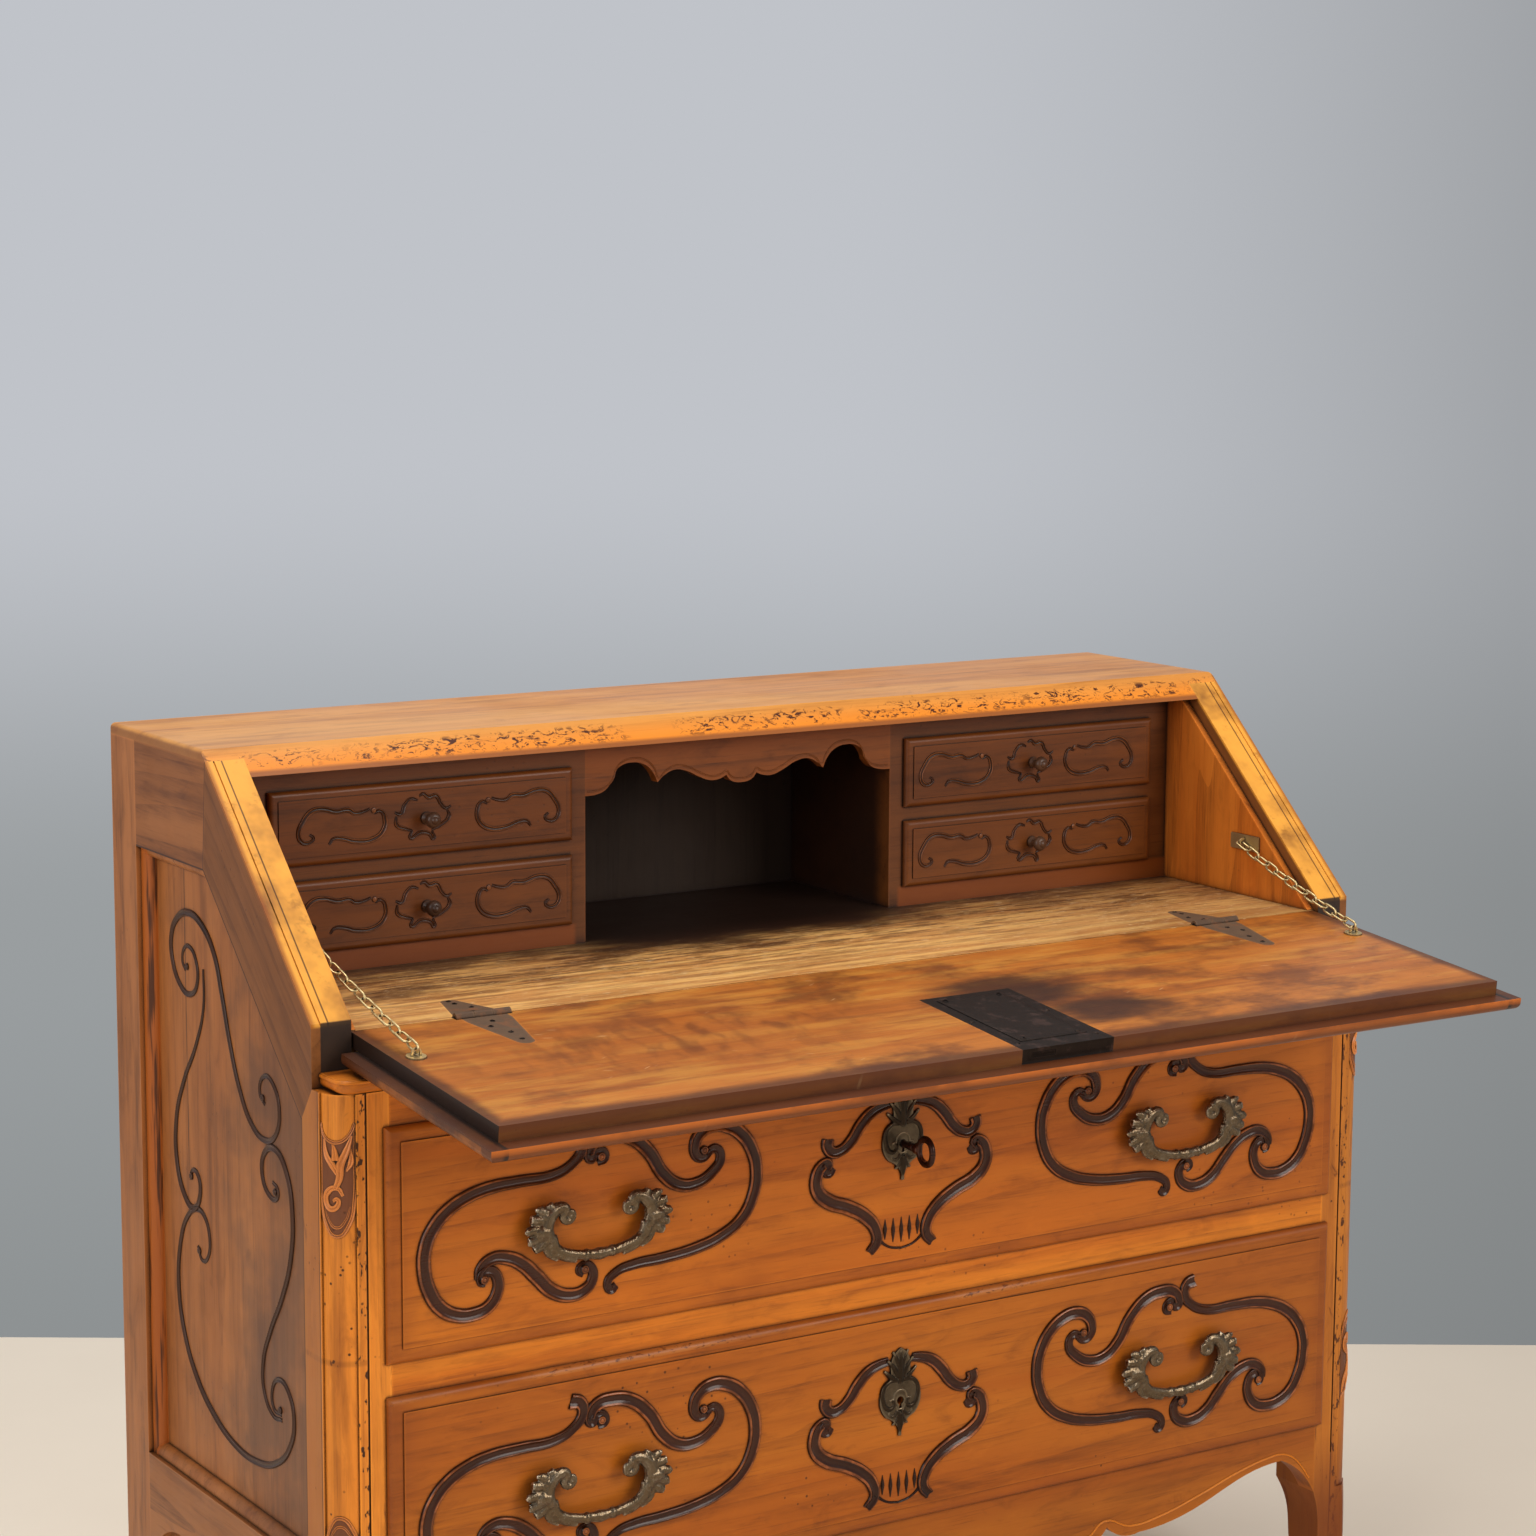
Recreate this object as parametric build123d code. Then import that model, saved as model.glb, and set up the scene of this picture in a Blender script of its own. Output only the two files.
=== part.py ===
from build123d import *
import os
from math import atan2, cos, radians, sin

os.makedirs("parts", exist_ok=True)

# Slant-front writing bureau with its fall open. Millimetres, Z up, X across, Y to the back.
# The model is drawn with y = 0 on the front plane of the case and z = 0 on the floor.
# Every piece is shifted along Y as it is written, so that the origin is at the middle of the footprint.

# ---- Driving sizes: case ----
overall_width = 1200.0
case_depth = 486.0
writing_height = 760.0
top_rise = 227.0
ridge_setback = 270.0
slope_foot_setback = 38.0
slope_foot_rise = 12.0
stile_thickness = 39.0
cheek_thickness = 8.0
top_board_thickness = 25.0
nosing_thickness = 10.0
bed_thickness = 20.0
back_thickness = 11.0
panel_thickness = 14.0
panel_recess = 16.0
panel_tongue = 8.0
panel_moulding_radius = 11.0

# ---- Driving sizes: posts, rails and legs ----
post_face = 56.0
post_depth = 60.5
corner_column_radius = 22.0
corner_quirk = 2.0
bead_inset = 9.0
bead_foot = 40.0
quirk = 1.5
nosing_bead = 8.0
rear_post_depth = 58.0
cap_drop = 32.0
cap_height = 14.0
cap_overhang = 4.0
cap_corner_radius = 16.0
side_top_rail_height = 103.0
side_rail_height = 127.0
side_recess_shoulder_drop = 78.0
top_rail_depth = 70.0
rail_depth = 45.0
dust_board_thickness = 12.0
apron_thickness = 24.0
apron_height = 80.4
foot_width = 42.48
leg_corner = 16.0
arch_rise = 43.0
side_arch_rise = 65.0
side_point_rise = 4.0
arch_reach = 46.0
side_arch_reach = 72.0
lobe_reach = 236.0
hook_width = 42.0
middle_drop = 18.0

# ---- Driving sizes: fall ----
fall_inner_thickness = 14.0
fall_lip_thickness = 12.0
fall_lip_side = 16.0
fall_lip_front = 19.0
fall_lip_start = 16.0
fall_lip_round = 7.0
fall_droop = 5.4
fall_side_gap = 2.5
fall_end_gap = 4.5
closing_gap = 0.4

# ---- Driving sizes: hinges, stay chains ----
hinge_inset = 134.0
hinge_length = 56.0
knuckle_radius = 4.5
hinge_pin_radius = 2.0
pin_gap = 0.05
knuckle_gap = 0.3
leaf_thickness = 2.0
leaf_width = 46.0
leaf_tip_width = 18.0
bed_leaf_reach = 72.0
fall_leaf_reach = 90.0
chain_links = 12
chain_wire = 1.8
chain_link_width = 10.5
chain_play = 0.5
chain_end_gap = 0.5
chain_wall_setback = 148.0
chain_wall_rise = 58.0
chain_fall_inset = 20.5
chain_fall_reach = 88.0
chain_plate_thickness = 1.5
chain_plate_length = 46.0
chain_plate_height = 16.0
chain_rosette_radius = 9.0
staple_stand = 6.6
staple_width = 10.0
chain_sag = 3.0

# ---- Driving sizes: long drawers ----
drawer_gap_side = 1.0
drawer_run_gap = 0.4
drawer_top_gap = 1.5
lip_overlap = 6.0
lip_stand = 8.0
lip_border = 14.0
lip_field_step = 1.5
front_thickness = 20.0
box_wall = 12.0
box_bottom = 8.0
box_bottom_lift = 6.0
box_back_gap = 14.0
drawer_mouth_top = 84.5
upper_mouth_height = 204.7
middle_rail_height = 42.6
lower_mouth_height = 209.8
guide_height = 50.0
kicker_height = 24.0
kicker_width = 31.0

# ---- Driving sizes: nest of small drawers ----
nest_setback = 286.0
nest_height = 202.0
compartment_half = 183.0
divider_thickness = 20.0
nest_stile_width = 29.0
nest_stile_depth = 14.0
nest_bottom_rail = 24.0
nest_mouth_lower = 64.5
nest_middle_rail = 20.5
nest_mouth_upper = 67.0
nest_shelf_thickness = 8.0
small_lip_overlap = 3.0
small_lip_stand = 8.0
small_front_thickness = 12.0
small_wall = 7.0
small_bottom = 5.0
small_gap = 0.8
valance_thickness = 12.0
valance_drop = 46.0
knob_radius = 8.0
knob_length = 22.0

# ---- Driving sizes: locks, key and handles ----
lock_width = 80.0
lock_height = 104.0
lock_depth = 11.0
lock_skin = 1.0
lock_set_back = 10.0
bolt_width = 26.0
bolt_thickness = 4.0
bolt_throw = 8.0
bolt_gap = 0.4
mortise_gap = 1.0
key_drop_upper = 80.5
key_drop_lower = 90.0
key_shank_radius = 2.6
key_hole_radius = 4.0
key_stand = 48.0
key_bow_height = 26.0
key_bow_width = 20.0
key_bow_thickness = 3.0
key_bit_height = 6.0
key_bit_length = 2.6
escutcheon_thickness = 2.0
escutcheon_width = 46.0
escutcheon_height = 88.0
handle_inset = 201.5
handle_rise = 3.0
handle_half = 50.0
handle_stand = 12.0
bail_radius = 4.2
bail_drop = 42.0
bail_pin_radius = 2.0
bail_eye_radius = 4.4
bail_eye_width = 5.0
bail_lug_width = 3.0
bail_lug_gap = 0.5
bail_head_thickness = 6.0
bail_head_length = 50.0
bail_head_height = 24.0
fall_lock_left = -24.0
fall_lock_width = 104.0
fall_lock_length = 165.0
fall_lock_body = 9.0
fall_lock_selvage = 1.5
fall_lock_margin = 6.0
fall_lock_body_length = 96.0
fall_bolt_length = 42.0
fall_keyhole_setback = 70.0

# ---- Worked out from the driving sizes ----
half_width = overall_width / 2
top_z = writing_height + top_rise
slope = atan2(top_rise - slope_foot_rise, ridge_setback - slope_foot_setback)
stile_x = half_width - stile_thickness
cheek_x = stile_x - cheek_thickness
back_y = case_depth - back_thickness
rear_post_y = case_depth - rear_post_depth
post_x = half_width - post_face
cap_top = writing_height - cap_drop
cap_bottom = cap_top - cap_height
mouth_top = writing_height - drawer_mouth_top
upper_floor = mouth_top - upper_mouth_height
lower_mouth_top = upper_floor - middle_rail_height
lower_floor = lower_mouth_top - lower_mouth_height
leg_height = lower_floor - apron_height
panel_outer_x = half_width - panel_recess
rebate = fall_inner_thickness - closing_gap
foot_s = (rebate * cos(slope) - slope_foot_rise) / sin(slope)
hinge_y = slope_foot_setback + foot_s * cos(slope) + rebate * sin(slope)
fascia_s = (top_rise - top_board_thickness - rebate * cos(slope)) / sin(slope)
fall_length = fascia_s - fall_end_gap
fall_half = stile_x - fall_side_gap
fall_keyhole_y = -fall_length + fall_keyhole_setback
hinge_x = stile_x - hinge_inset
chain_fall_x = fall_half - chain_fall_inset
handle_x = post_x - handle_inset
fall_reach = (fall_length + fall_lip_front) * cos(radians(fall_droop)) - hinge_y
row_shift = (fall_reach - case_depth) / 2
fall_place = Pos(0, hinge_y, writing_height) * Rot(fall_droop, 0, 0)


def block(x, y, z):
    """A box between two values on each axis."""
    size = (x[1] - x[0], y[1] - y[0], z[1] - z[0])
    return Pos(x[0], y[0], z[0]) * Box(*size, align=(Align.MIN, Align.MIN, Align.MIN))


def both(shape):
    """The shape and its mirror image across the middle plane."""
    return Compound([*shape.solids(), *shape.mirror(Plane.YZ).solids()])


def carve(shape, tools):
    """A shape less each solid of a group."""
    for tool in tools.solids():
        shape -= tool
    return shape


def side_plate(points, x):
    """A plate with an outline drawn in (y, z), between two values of x."""
    outline = make_face(Polyline(*[(x[0], y, z) for y, z in points], close=True))
    return extrude(outline, x[1] - x[0], dir=(1, 0, 0))


def front_plate(points, y):
    """A plate with an outline drawn in (x, z), between two values of y."""
    outline = make_face(Polyline(*[(px, y[0], pz) for px, pz in points], close=True))
    return extrude(outline, y[1] - y[0], dir=(0, 1, 0))


def rod(start, end, radius):
    """A round bar between two points."""
    axis = Vector(*end) - Vector(*start)
    return Plane(origin=start, z_dir=axis) * Cylinder(
        radius, axis.length, align=(Align.CENTER, Align.CENTER, Align.MIN))


def slope_point(along, out):
    """(y, z) at a distance up the slope from the hinge, and out from the closed fall's inner face."""
    y = hinge_y + along * cos(slope) - out * sin(slope)
    z = writing_height + along * sin(slope) + out * cos(slope)
    return (y, z)


def slope_y(z, out):
    """y where the line that lies out from the closed fall's inner face is at height z."""
    along = (z - writing_height - out * cos(slope)) / sin(slope)
    return slope_point(along, out)[0]


def write(shape, name):
    """Write a node in the row's own frame."""
    moved = Pos(0, row_shift, 0) * shape
    export_step(moved, f"parts/{name}.step")


def write_pair(shape, name):
    """Write a left-hand node and its right-hand mirror image."""
    write(shape, f"{name}_left")
    write(shape.mirror(Plane.YZ), f"{name}_right")


# ---- Posts and legs ----
def leg(x_outer, x_dir, y_outer, y_dir, depth, corner):
    """A leg that runs on from its post: (height share, inset, fullness) from the shoulder to the floor."""
    stations = ((1.0, 0.0, 1.0), (0.91, 0.0, 0.71), (0.82, 0.2, 0.5), (0.62, 1.0, 0.3), (0.4, 2.6, 0.04),
                (0.18, 3.8, -0.24), (0.06, 2.8, -0.08), (0.0, 2.4, 0.0))
    sections = []
    for share, inset, fullness in stations:
        across = foot_width + (post_face - foot_width) * fullness
        along = foot_width + (depth - foot_width) * fullness
        cut = corner * (0.3 + 0.7 * share)
        plan = ((cut, 0), (across, 0), (across, along), (0, along), (0, cut))
        outline = [(x_outer + x_dir * (inset + u), y_outer + y_dir * (inset + v), share * leg_height)
                   for u, v in plan]
        sections.append(make_face(Polyline(*outline, close=True)))
    return loft(sections)


def front_post():
    """Left front post and leg: a flat stile, a quirk, and a corner column set back a little."""
    column_x = -half_width + corner_column_radius + corner_quirk
    column_y = corner_column_radius + corner_quirk
    shaft = block((-half_width, -post_x), (0, post_depth), (leg_height, cap_bottom))
    corner = block((-half_width, column_x), (0, column_y), (leg_height, cap_bottom))
    column = Pos(column_x, column_y, leg_height) * Cylinder(
        corner_column_radius, cap_bottom - leg_height, align=(Align.CENTER, Align.CENTER, Align.MIN))
    bead_line = block((column_x + bead_inset, column_x + bead_inset + quirk), (0, quirk),
                      (leg_height + bead_foot, cap_bottom))
    post = (shaft - corner) + (column & corner) - bead_line
    slope_cut = side_plate(((slope_foot_setback, cap_bottom + 1), (post_depth + 1, cap_bottom + 1),
                            (post_depth + 1, writing_height - side_recess_shoulder_drop),
                            (post_depth, writing_height - side_recess_shoulder_drop),
                            (slope_foot_setback, cap_bottom)), (-half_width - 1, -stile_x))
    return post - slope_cut - panel_blank() + leg(-half_width, 1, 0, 1, post_depth, leg_corner)


def rear_post():
    """Left rear post, rebated for the back boards, with its leg."""
    shaft = block((-half_width, -stile_x), (rear_post_y, case_depth), (leg_height, top_z - nosing_thickness))
    return shaft - panel_blank() + leg(-half_width, 1, case_depth, -1, rear_post_depth, 1.5)


def post_cap():
    """Moulded cap on the left front post, turned round the column and hollowed under its front."""
    cap = block((-half_width + nosing_bead, -post_x), (-cap_overhang, slope_foot_setback), (cap_bottom, cap_top))
    corner = cap.edges().filter_by(Axis.Z).sort_by_distance((-half_width, -cap_overhang, cap_bottom))[0]
    cap = fillet(corner, cap_corner_radius)
    front_edges = cap.edges().group_by(Axis.Z)[0].sort_by(Axis.Y)
    return fillet(front_edges[0:2], cap_overhang + 3)


# ---- Side frames ----
recess_top = top_z - nosing_thickness - side_top_rail_height
recess_foot = writing_height - side_recess_shoulder_drop
recess_bottom = leg_height + side_rail_height
recess_top_y = post_depth + (recess_top - recess_foot) * cos(slope) / sin(slope)
recess_outline = ((post_depth, recess_bottom), (post_depth, recess_foot), (recess_top_y, recess_top),
                  (rear_post_y, recess_top), (rear_post_y, recess_bottom))


def panel_blank():
    """The left panel with the tongue that the frame's groove holds."""
    outline = make_face(Polyline(*[(-panel_outer_x, y, z) for y, z in recess_outline], close=True))
    grown = offset(outline, panel_tongue, kind=Kind.INTERSECTION)
    return extrude(grown, panel_thickness, dir=(1, 0, 0))


def side_panel():
    """The left panel with the quarter-round moulding run round its face."""
    wire = Polyline(*[(-panel_outer_x, y, z) for y, z in recess_outline], close=True)
    corner = recess_outline[0]
    quarter = Plane(origin=(-panel_outer_x, *corner), x_dir=(0, 1, 0), z_dir=(0, 0, 1)) * Circle(
        panel_moulding_radius)
    ring = sweep(quarter, path=wire, transition=Transition.RIGHT)
    field = side_plate(recess_outline, (-half_width, -panel_outer_x))
    return panel_blank() + (ring & field)


def slanted_stile():
    """Left slanted stile under the closed fall, with the bead that runs down its outer edge."""
    lower_end = (slope_foot_setback, cap_bottom)
    outline = (lower_end, (slope_foot_setback, writing_height + slope_foot_rise),
               (slope_y(top_z - nosing_thickness, rebate), top_z - nosing_thickness),
               (recess_top_y, recess_top), (post_depth, recess_foot))
    plate = side_plate(outline, (-half_width, -stile_x))
    groove = side_plate((slope_point(-20, rebate - quirk), slope_point(-20, rebate + 2),
                         slope_point(fascia_s + 60, rebate + 2), slope_point(fascia_s + 60, rebate - quirk)),
                        (-half_width + nosing_bead, -half_width + nosing_bead + quirk))
    return plate - panel_blank() - groove


def side_top_rail():
    """Left top rail, butted against the slanted stile."""
    top = top_z - nosing_thickness
    outline = ((recess_top_y, recess_top), (slope_y(top, rebate), top), (rear_post_y, top),
               (rear_post_y, recess_top))
    return side_plate(outline, (-half_width, -stile_x)) - panel_blank()


def shaped_edge(half_span, place):
    """Lower edge from one leg to the other: an arch by each leg, a hooked lobe, and a middle drop."""
    foot_z = leg_height
    drop = arch_rise
    arch_z = foot_z + drop
    arch_at = half_span - arch_reach
    lobe_at = half_span - lobe_reach
    hook_at = lobe_at - hook_width
    arch = ThreePointArc((half_span, foot_z), (half_span - arch_reach * 0.44, arch_z - drop * 0.37),
                         (arch_at, arch_z))
    lobe = Spline((arch_at, arch_z), ((arch_at + lobe_at) / 2 - 6, arch_z - drop * 0.58),
                  (lobe_at, foot_z + 2), tangents=((-1, 0), (-1, 0)))
    hook = ThreePointArc((lobe_at, foot_z + 2), (hook_at + hook_width * 0.25, foot_z + drop * 0.15),
                         (hook_at, foot_z + drop * 0.36))
    middle = Spline((hook_at, foot_z + drop * 0.36), (hook_at * 0.8, foot_z + drop * 0.02),
                    (0, foot_z - middle_drop), tangents=((-0.5, -1), (-1, 0)))
    half = arch + lobe + hook + middle
    return place * (half + half.mirror(Plane.YZ))


def side_edge(half_span, place):
    """Lower edge of a side rail: an arch by each leg, and an ogee down to a point between them."""
    foot_z = leg_height
    drop = side_arch_rise
    arch_z = foot_z + drop
    arch_at = half_span - side_arch_reach
    arch = ThreePointArc((half_span, foot_z), (half_span - side_arch_reach * 0.34, arch_z - drop * 0.3),
                         (arch_at, arch_z))
    ogee = Spline((arch_at, arch_z), (arch_at * 0.46, arch_z - drop * 0.5), (0, foot_z + side_point_rise),
                  tangents=((-1, 0), (-0.35, -1)))
    half = arch + ogee
    return place * (half + half.mirror(Plane.YZ))


def side_bottom_rail():
    """Left bottom rail with its shaped lower edge."""
    middle = (post_depth + rear_post_y) / 2
    span = (rear_post_y - post_depth) / 2
    plane = Plane(origin=(-half_width, middle, 0), x_dir=(0, 1, 0), z_dir=(1, 0, 0))
    edge = side_edge(span, plane)
    rim = plane * Polyline((span, leg_height), (span, recess_bottom), (-span, recess_bottom), (-span, leg_height))
    return extrude(make_face(edge + rim), stile_thickness, dir=(1, 0, 0)) - panel_blank()


def inner_cheek():
    """Left lining board of the desk space, whose sloped edge carries the closed fall."""
    start = slope_point(1.5, -closing_gap)
    high = writing_height + nest_height
    outline = ((start[0], writing_height), start, (slope_y(high, -closing_gap), high),
               (back_y, high), (back_y, writing_height))
    return side_plate(outline, (-stile_x, -cheek_x))


# ---- Top, bed, back and rails ----
def top_board():
    """Top board: it laps the side frames, and its front edge is cut on the slope of the fall."""
    under = top_z - top_board_thickness
    body = side_plate(((slope_y(under, rebate), under), (slope_y(top_z, rebate), top_z),
                       (case_depth, top_z), (case_depth, under)), (-stile_x, stile_x))
    lap = top_z - nosing_thickness
    cover = side_plate(((slope_y(lap, rebate), lap), (slope_y(top_z, rebate), top_z),
                        (case_depth, top_z), (case_depth, lap)), (-half_width, half_width))
    ends = cover.edges().filter_by(Axis.Y).group_by(Axis.Z)[-1]
    board = body + fillet(ends, nosing_thickness / 2)
    socket = Plane(origin=(0, *slope_point(fascia_s - 2, rebate / 2)), x_dir=(1, 0, 0),
                   z_dir=(0, cos(slope), sin(slope))) * Box(
        bolt_width + 2 * mortise_gap, bolt_thickness + 4 * mortise_gap, 2 * bolt_throw + 12)
    return board - socket


def writing_bed():
    """Bed board of the desk space, hollowed for the hinge knuckles and leaves."""
    bed = block((-stile_x, stile_x), (hinge_y + 0.5, back_y), (writing_height - bed_thickness, writing_height))
    for side in (-1, 1):
        bed -= rod((side * hinge_x - hinge_length / 2 - 1, hinge_y, writing_height),
                   (side * hinge_x + hinge_length / 2 + 1, hinge_y, writing_height), knuckle_radius + 0.8)
    return carve(bed, bed_leaves())


def front_top_rail():
    """Rail under the bed's front edge, with the mortise for the upper drawer's bolt."""
    rear = top_rail_depth
    outline = ((0, mouth_top), (0, cap_top), (hinge_y + 2, cap_top), (hinge_y + 2, writing_height - bed_thickness),
               (rear, writing_height - bed_thickness), (rear, mouth_top))
    rail = side_plate(outline, (-post_x, post_x))
    return rail - bolt_mortise(mouth_top)


def bolt_mortise(level):
    """Hole for a drawer lock's bolt, upwards from a level."""
    centre_y = bolt_layer()
    return block((-bolt_width / 2 - mortise_gap, bolt_width / 2 + mortise_gap),
                 (centre_y[0] - mortise_gap, centre_y[1] + mortise_gap),
                 (level - 1, level + bolt_throw + 4))


def middle_rail():
    """Rail between the long drawers, with the mortise for the lower drawer's bolt."""
    rail = block((-post_x, post_x), (0, rail_depth), (lower_mouth_top, upper_floor))
    return rail - bolt_mortise(lower_mouth_top)


def dust_board(level, front_y):
    """Board that a long drawer runs on, notched round the front posts."""
    wide = block((-stile_x, stile_x), (post_depth, back_y), (level - dust_board_thickness, level))
    nose = block((-post_x, post_x), (front_y, post_depth), (level - dust_board_thickness, level))
    return wide + nose


def apron():
    """Shaped rail under the lower drawer."""
    plane = Plane(origin=(0, 0, 0), x_dir=(1, 0, 0), z_dir=(0, -1, 0))
    edge = shaped_edge(post_x, plane)
    rim = plane * Polyline((post_x, leg_height), (post_x, lower_floor), (-post_x, lower_floor),
                           (-post_x, leg_height))
    return extrude(make_face(edge + rim), apron_thickness, dir=(0, 1, 0))


def back_panel():
    """Back boards between the rear posts, with a groove at each joint."""
    boards = 5
    foot = lower_floor - dust_board_thickness
    panel = block((-stile_x, stile_x), (back_y, case_depth), (foot, top_z - top_board_thickness))
    width = 2 * stile_x / boards
    for joint in range(1, boards):
        x = -stile_x + joint * width
        panel -= block((x - 1, x + 1), (case_depth - 2, case_depth + 1), (foot, top_z))
    return panel


def drawer_guides():
    """Guides beside the drawers' feet and kickers over their tops, left and right."""
    strips = []
    for floor, mouth in ((upper_floor, mouth_top), (lower_floor, lower_mouth_top)):
        strips.append(block((-stile_x, -post_x), (post_depth, rear_post_y), (floor, floor + guide_height)))
        strips.append(block((-stile_x, -stile_x + kicker_width), (top_rail_depth, rear_post_y),
                            (mouth, mouth + kicker_height)))
    return both(Compound(strips))


# ---- Hinges ----
def leaf_outline(reach):
    """Strap leaf on the plane z = 0, from the knuckle towards +Y, tapering to a rounded tip."""
    start = knuckle_radius + 0.8
    tip = reach - leaf_tip_width / 2
    strap = make_face(Polyline((-leaf_width / 2, start), (-leaf_width / 2, start + 10),
                               (-leaf_tip_width / 2, tip), (leaf_tip_width / 2, tip),
                               (leaf_width / 2, start + 10), (leaf_width / 2, start), close=True))
    return strap + Pos(0, tip) * Circle(leaf_tip_width / 2)


def leaf(reach, spans):
    """A leaf with knuckles over spans of x, its top face at z = 0 and its axis on the X axis."""
    body = extrude(leaf_outline(reach), -leaf_thickness)
    for low, high in spans:
        body += rod((low, 0, 0), (high, 0, 0), knuckle_radius)
        body += block((low, high), (0, knuckle_radius + 2), (-leaf_thickness, 0))
    return body - rod((-hinge_length, 0, 0), (hinge_length, 0, 0), hinge_pin_radius + pin_gap)


def bed_leaves():
    """The two leaves let into the bed, each with the outer knuckles."""
    inner = hinge_length / 6 + knuckle_gap
    outer = hinge_length / 2
    one = leaf(bed_leaf_reach, ((-outer, -inner), (inner, outer)))
    return both(Pos(hinge_x, hinge_y, writing_height) * one)


def fall_leaves():
    """The two leaves let into the fall, each with the middle knuckle, in the fall's own frame."""
    inner = hinge_length / 6
    one = leaf(fall_leaf_reach, ((-inner, inner),)).mirror(Plane.XZ)
    return both(Pos(hinge_x, 0, 0) * one)


def hinge_pins():
    """The pins of both hinges."""
    pin = rod((hinge_x - hinge_length / 2, hinge_y, writing_height),
              (hinge_x + hinge_length / 2, hinge_y, writing_height), hinge_pin_radius)
    return both(pin)


# ---- Fall ----
def fall_board():
    """The fall in its own frame: hinge on the X axis, inner face up, free edge towards -Y."""
    inner = block((-fall_half, fall_half), (-fall_length, -1), (-fall_inner_thickness, 0))
    half = fall_half + fall_lip_side
    full_thickness = fall_inner_thickness + fall_lip_thickness
    outer = block((-half, half), (-fall_length - fall_lip_front, -fall_lip_start),
                  (-full_thickness, -fall_inner_thickness))
    rims = outer.edges().group_by(Axis.Z)[0]
    rear = rims.sort_by(Axis.Y)[-1]
    outer = fillet([edge for edge in rims if edge != rear], fall_lip_round)
    board = inner + outer
    for side in (-1, 1):
        board -= rod((side * hinge_x - hinge_length / 2 - 1, 0, 0),
                     (side * hinge_x + hinge_length / 2 + 1, 0, 0), knuckle_radius + 0.8)
    board = carve(board, fall_leaves())
    keyhole = rod((0, fall_keyhole_y, -full_thickness - 1), (0, fall_keyhole_y, 1), key_hole_radius)
    return board - fall_lock_cavity(0) - fall_lock_plate() - keyhole


def fall_lock_plate():
    """Plate of the fall's lock, flush with the inner face and turned down over the front edge."""
    plate = block((fall_lock_left, fall_lock_left + fall_lock_width),
                  (-fall_length, -fall_length + fall_lock_length), (-fall_lock_selvage, 0))
    selvage = block((fall_lock_left, fall_lock_left + fall_lock_width),
                    (-fall_length, -fall_length + fall_lock_selvage), (-fall_inner_thickness, 0))
    return plate + selvage


def fall_lock_cavity(skin):
    """The space of the fall lock's body, less a skin on each wall."""
    inset = fall_lock_margin + skin
    return block((fall_lock_left + inset, fall_lock_left + fall_lock_width - inset),
                 (-fall_length + fall_lock_selvage, -fall_length + fall_lock_body_length - skin),
                 (-fall_lock_selvage - fall_lock_body + skin, -fall_lock_selvage))


def fall_bolt():
    """Bolt of the fall's lock, drawn back, in the fall's own frame."""
    middle = -fall_lock_selvage - fall_lock_body / 2
    return block((-bolt_width / 2, bolt_width / 2), (-fall_length + 0.2, -fall_length + fall_bolt_length),
                 (middle - bolt_thickness / 2, middle + bolt_thickness / 2))


def fall_lock_case():
    """The fall's lock: plate, selvage and hollow body, with a slot for the bolt."""
    body = fall_lock_cavity(0) - fall_lock_cavity(lock_skin)
    middle = -fall_lock_selvage - fall_lock_body / 2
    slot = block((-bolt_width / 2 - bolt_gap, bolt_width / 2 + bolt_gap),
                 (-fall_length - 1, -fall_length + 6),
                 (middle - bolt_thickness / 2 - bolt_gap, middle + bolt_thickness / 2 + bolt_gap))
    keyhole = rod((0, fall_keyhole_y, -fall_lock_selvage - fall_lock_body - 1),
                  (0, fall_keyhole_y, -fall_lock_selvage - 2), key_hole_radius)
    return fall_lock_plate() + body - slot - keyhole


def escutcheon_outline():
    """Waisted plate with a pointed foot, drawn about the keyhole."""
    width = escutcheon_width / 2
    up = escutcheon_height * 0.6
    down = escutcheon_height * 0.4
    crest = ThreePointArc((0, up), (width * 0.4, up * 0.84), (width * 0.5, up * 0.62))
    waist = ThreePointArc((width * 0.5, up * 0.62), (width * 0.56, up * 0.4), (width * 0.95, up * 0.22))
    shoulder = ThreePointArc((width * 0.95, up * 0.22), (width, -down * 0.14), (width * 0.7, -down * 0.44))
    foot = ThreePointArc((width * 0.7, -down * 0.44), (width * 0.28, -down * 0.62), (0, -down))
    right = crest + waist + shoulder + foot
    return make_face(right + right.mirror(Plane.YZ))


def escutcheon():
    """Escutcheon plate on the plane y = 0 facing -Y, with its keyhole."""
    plate = extrude(Plane.XZ * escutcheon_outline(), escutcheon_thickness)
    hole = rod((0, -10, 0), (0, 10, 0), key_hole_radius)
    slot = block((-1.6, 1.6), (-10, 10), (-11, 0))
    return plate - hole - slot


def fall_escutcheon():
    """Escutcheon on the outer face of the fall, in the fall's own frame."""
    face = -fall_inner_thickness - fall_lip_thickness
    turned = Rot(90, 0, 0) * escutcheon()
    return Pos(0, fall_keyhole_y, face) * turned


# ---- Stay chains ----
def staple(place):
    """A wire staple standing along +Z of its place, its crown along X."""
    outside = SlotOverall(2 * staple_stand + chain_wire, staple_width)
    inside = SlotOverall(2 * staple_stand - chain_wire, staple_width - 2 * chain_wire)
    bow = extrude(outside - inside, chain_wire / 2, both=True)
    upright = Rot(90, 0, 0) * Rot(0, 0, 90) * bow
    standing = upright & Pos(0, 0, staple_stand) * Box(30, 30, 2 * staple_stand + chain_wire)
    return place * standing


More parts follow.
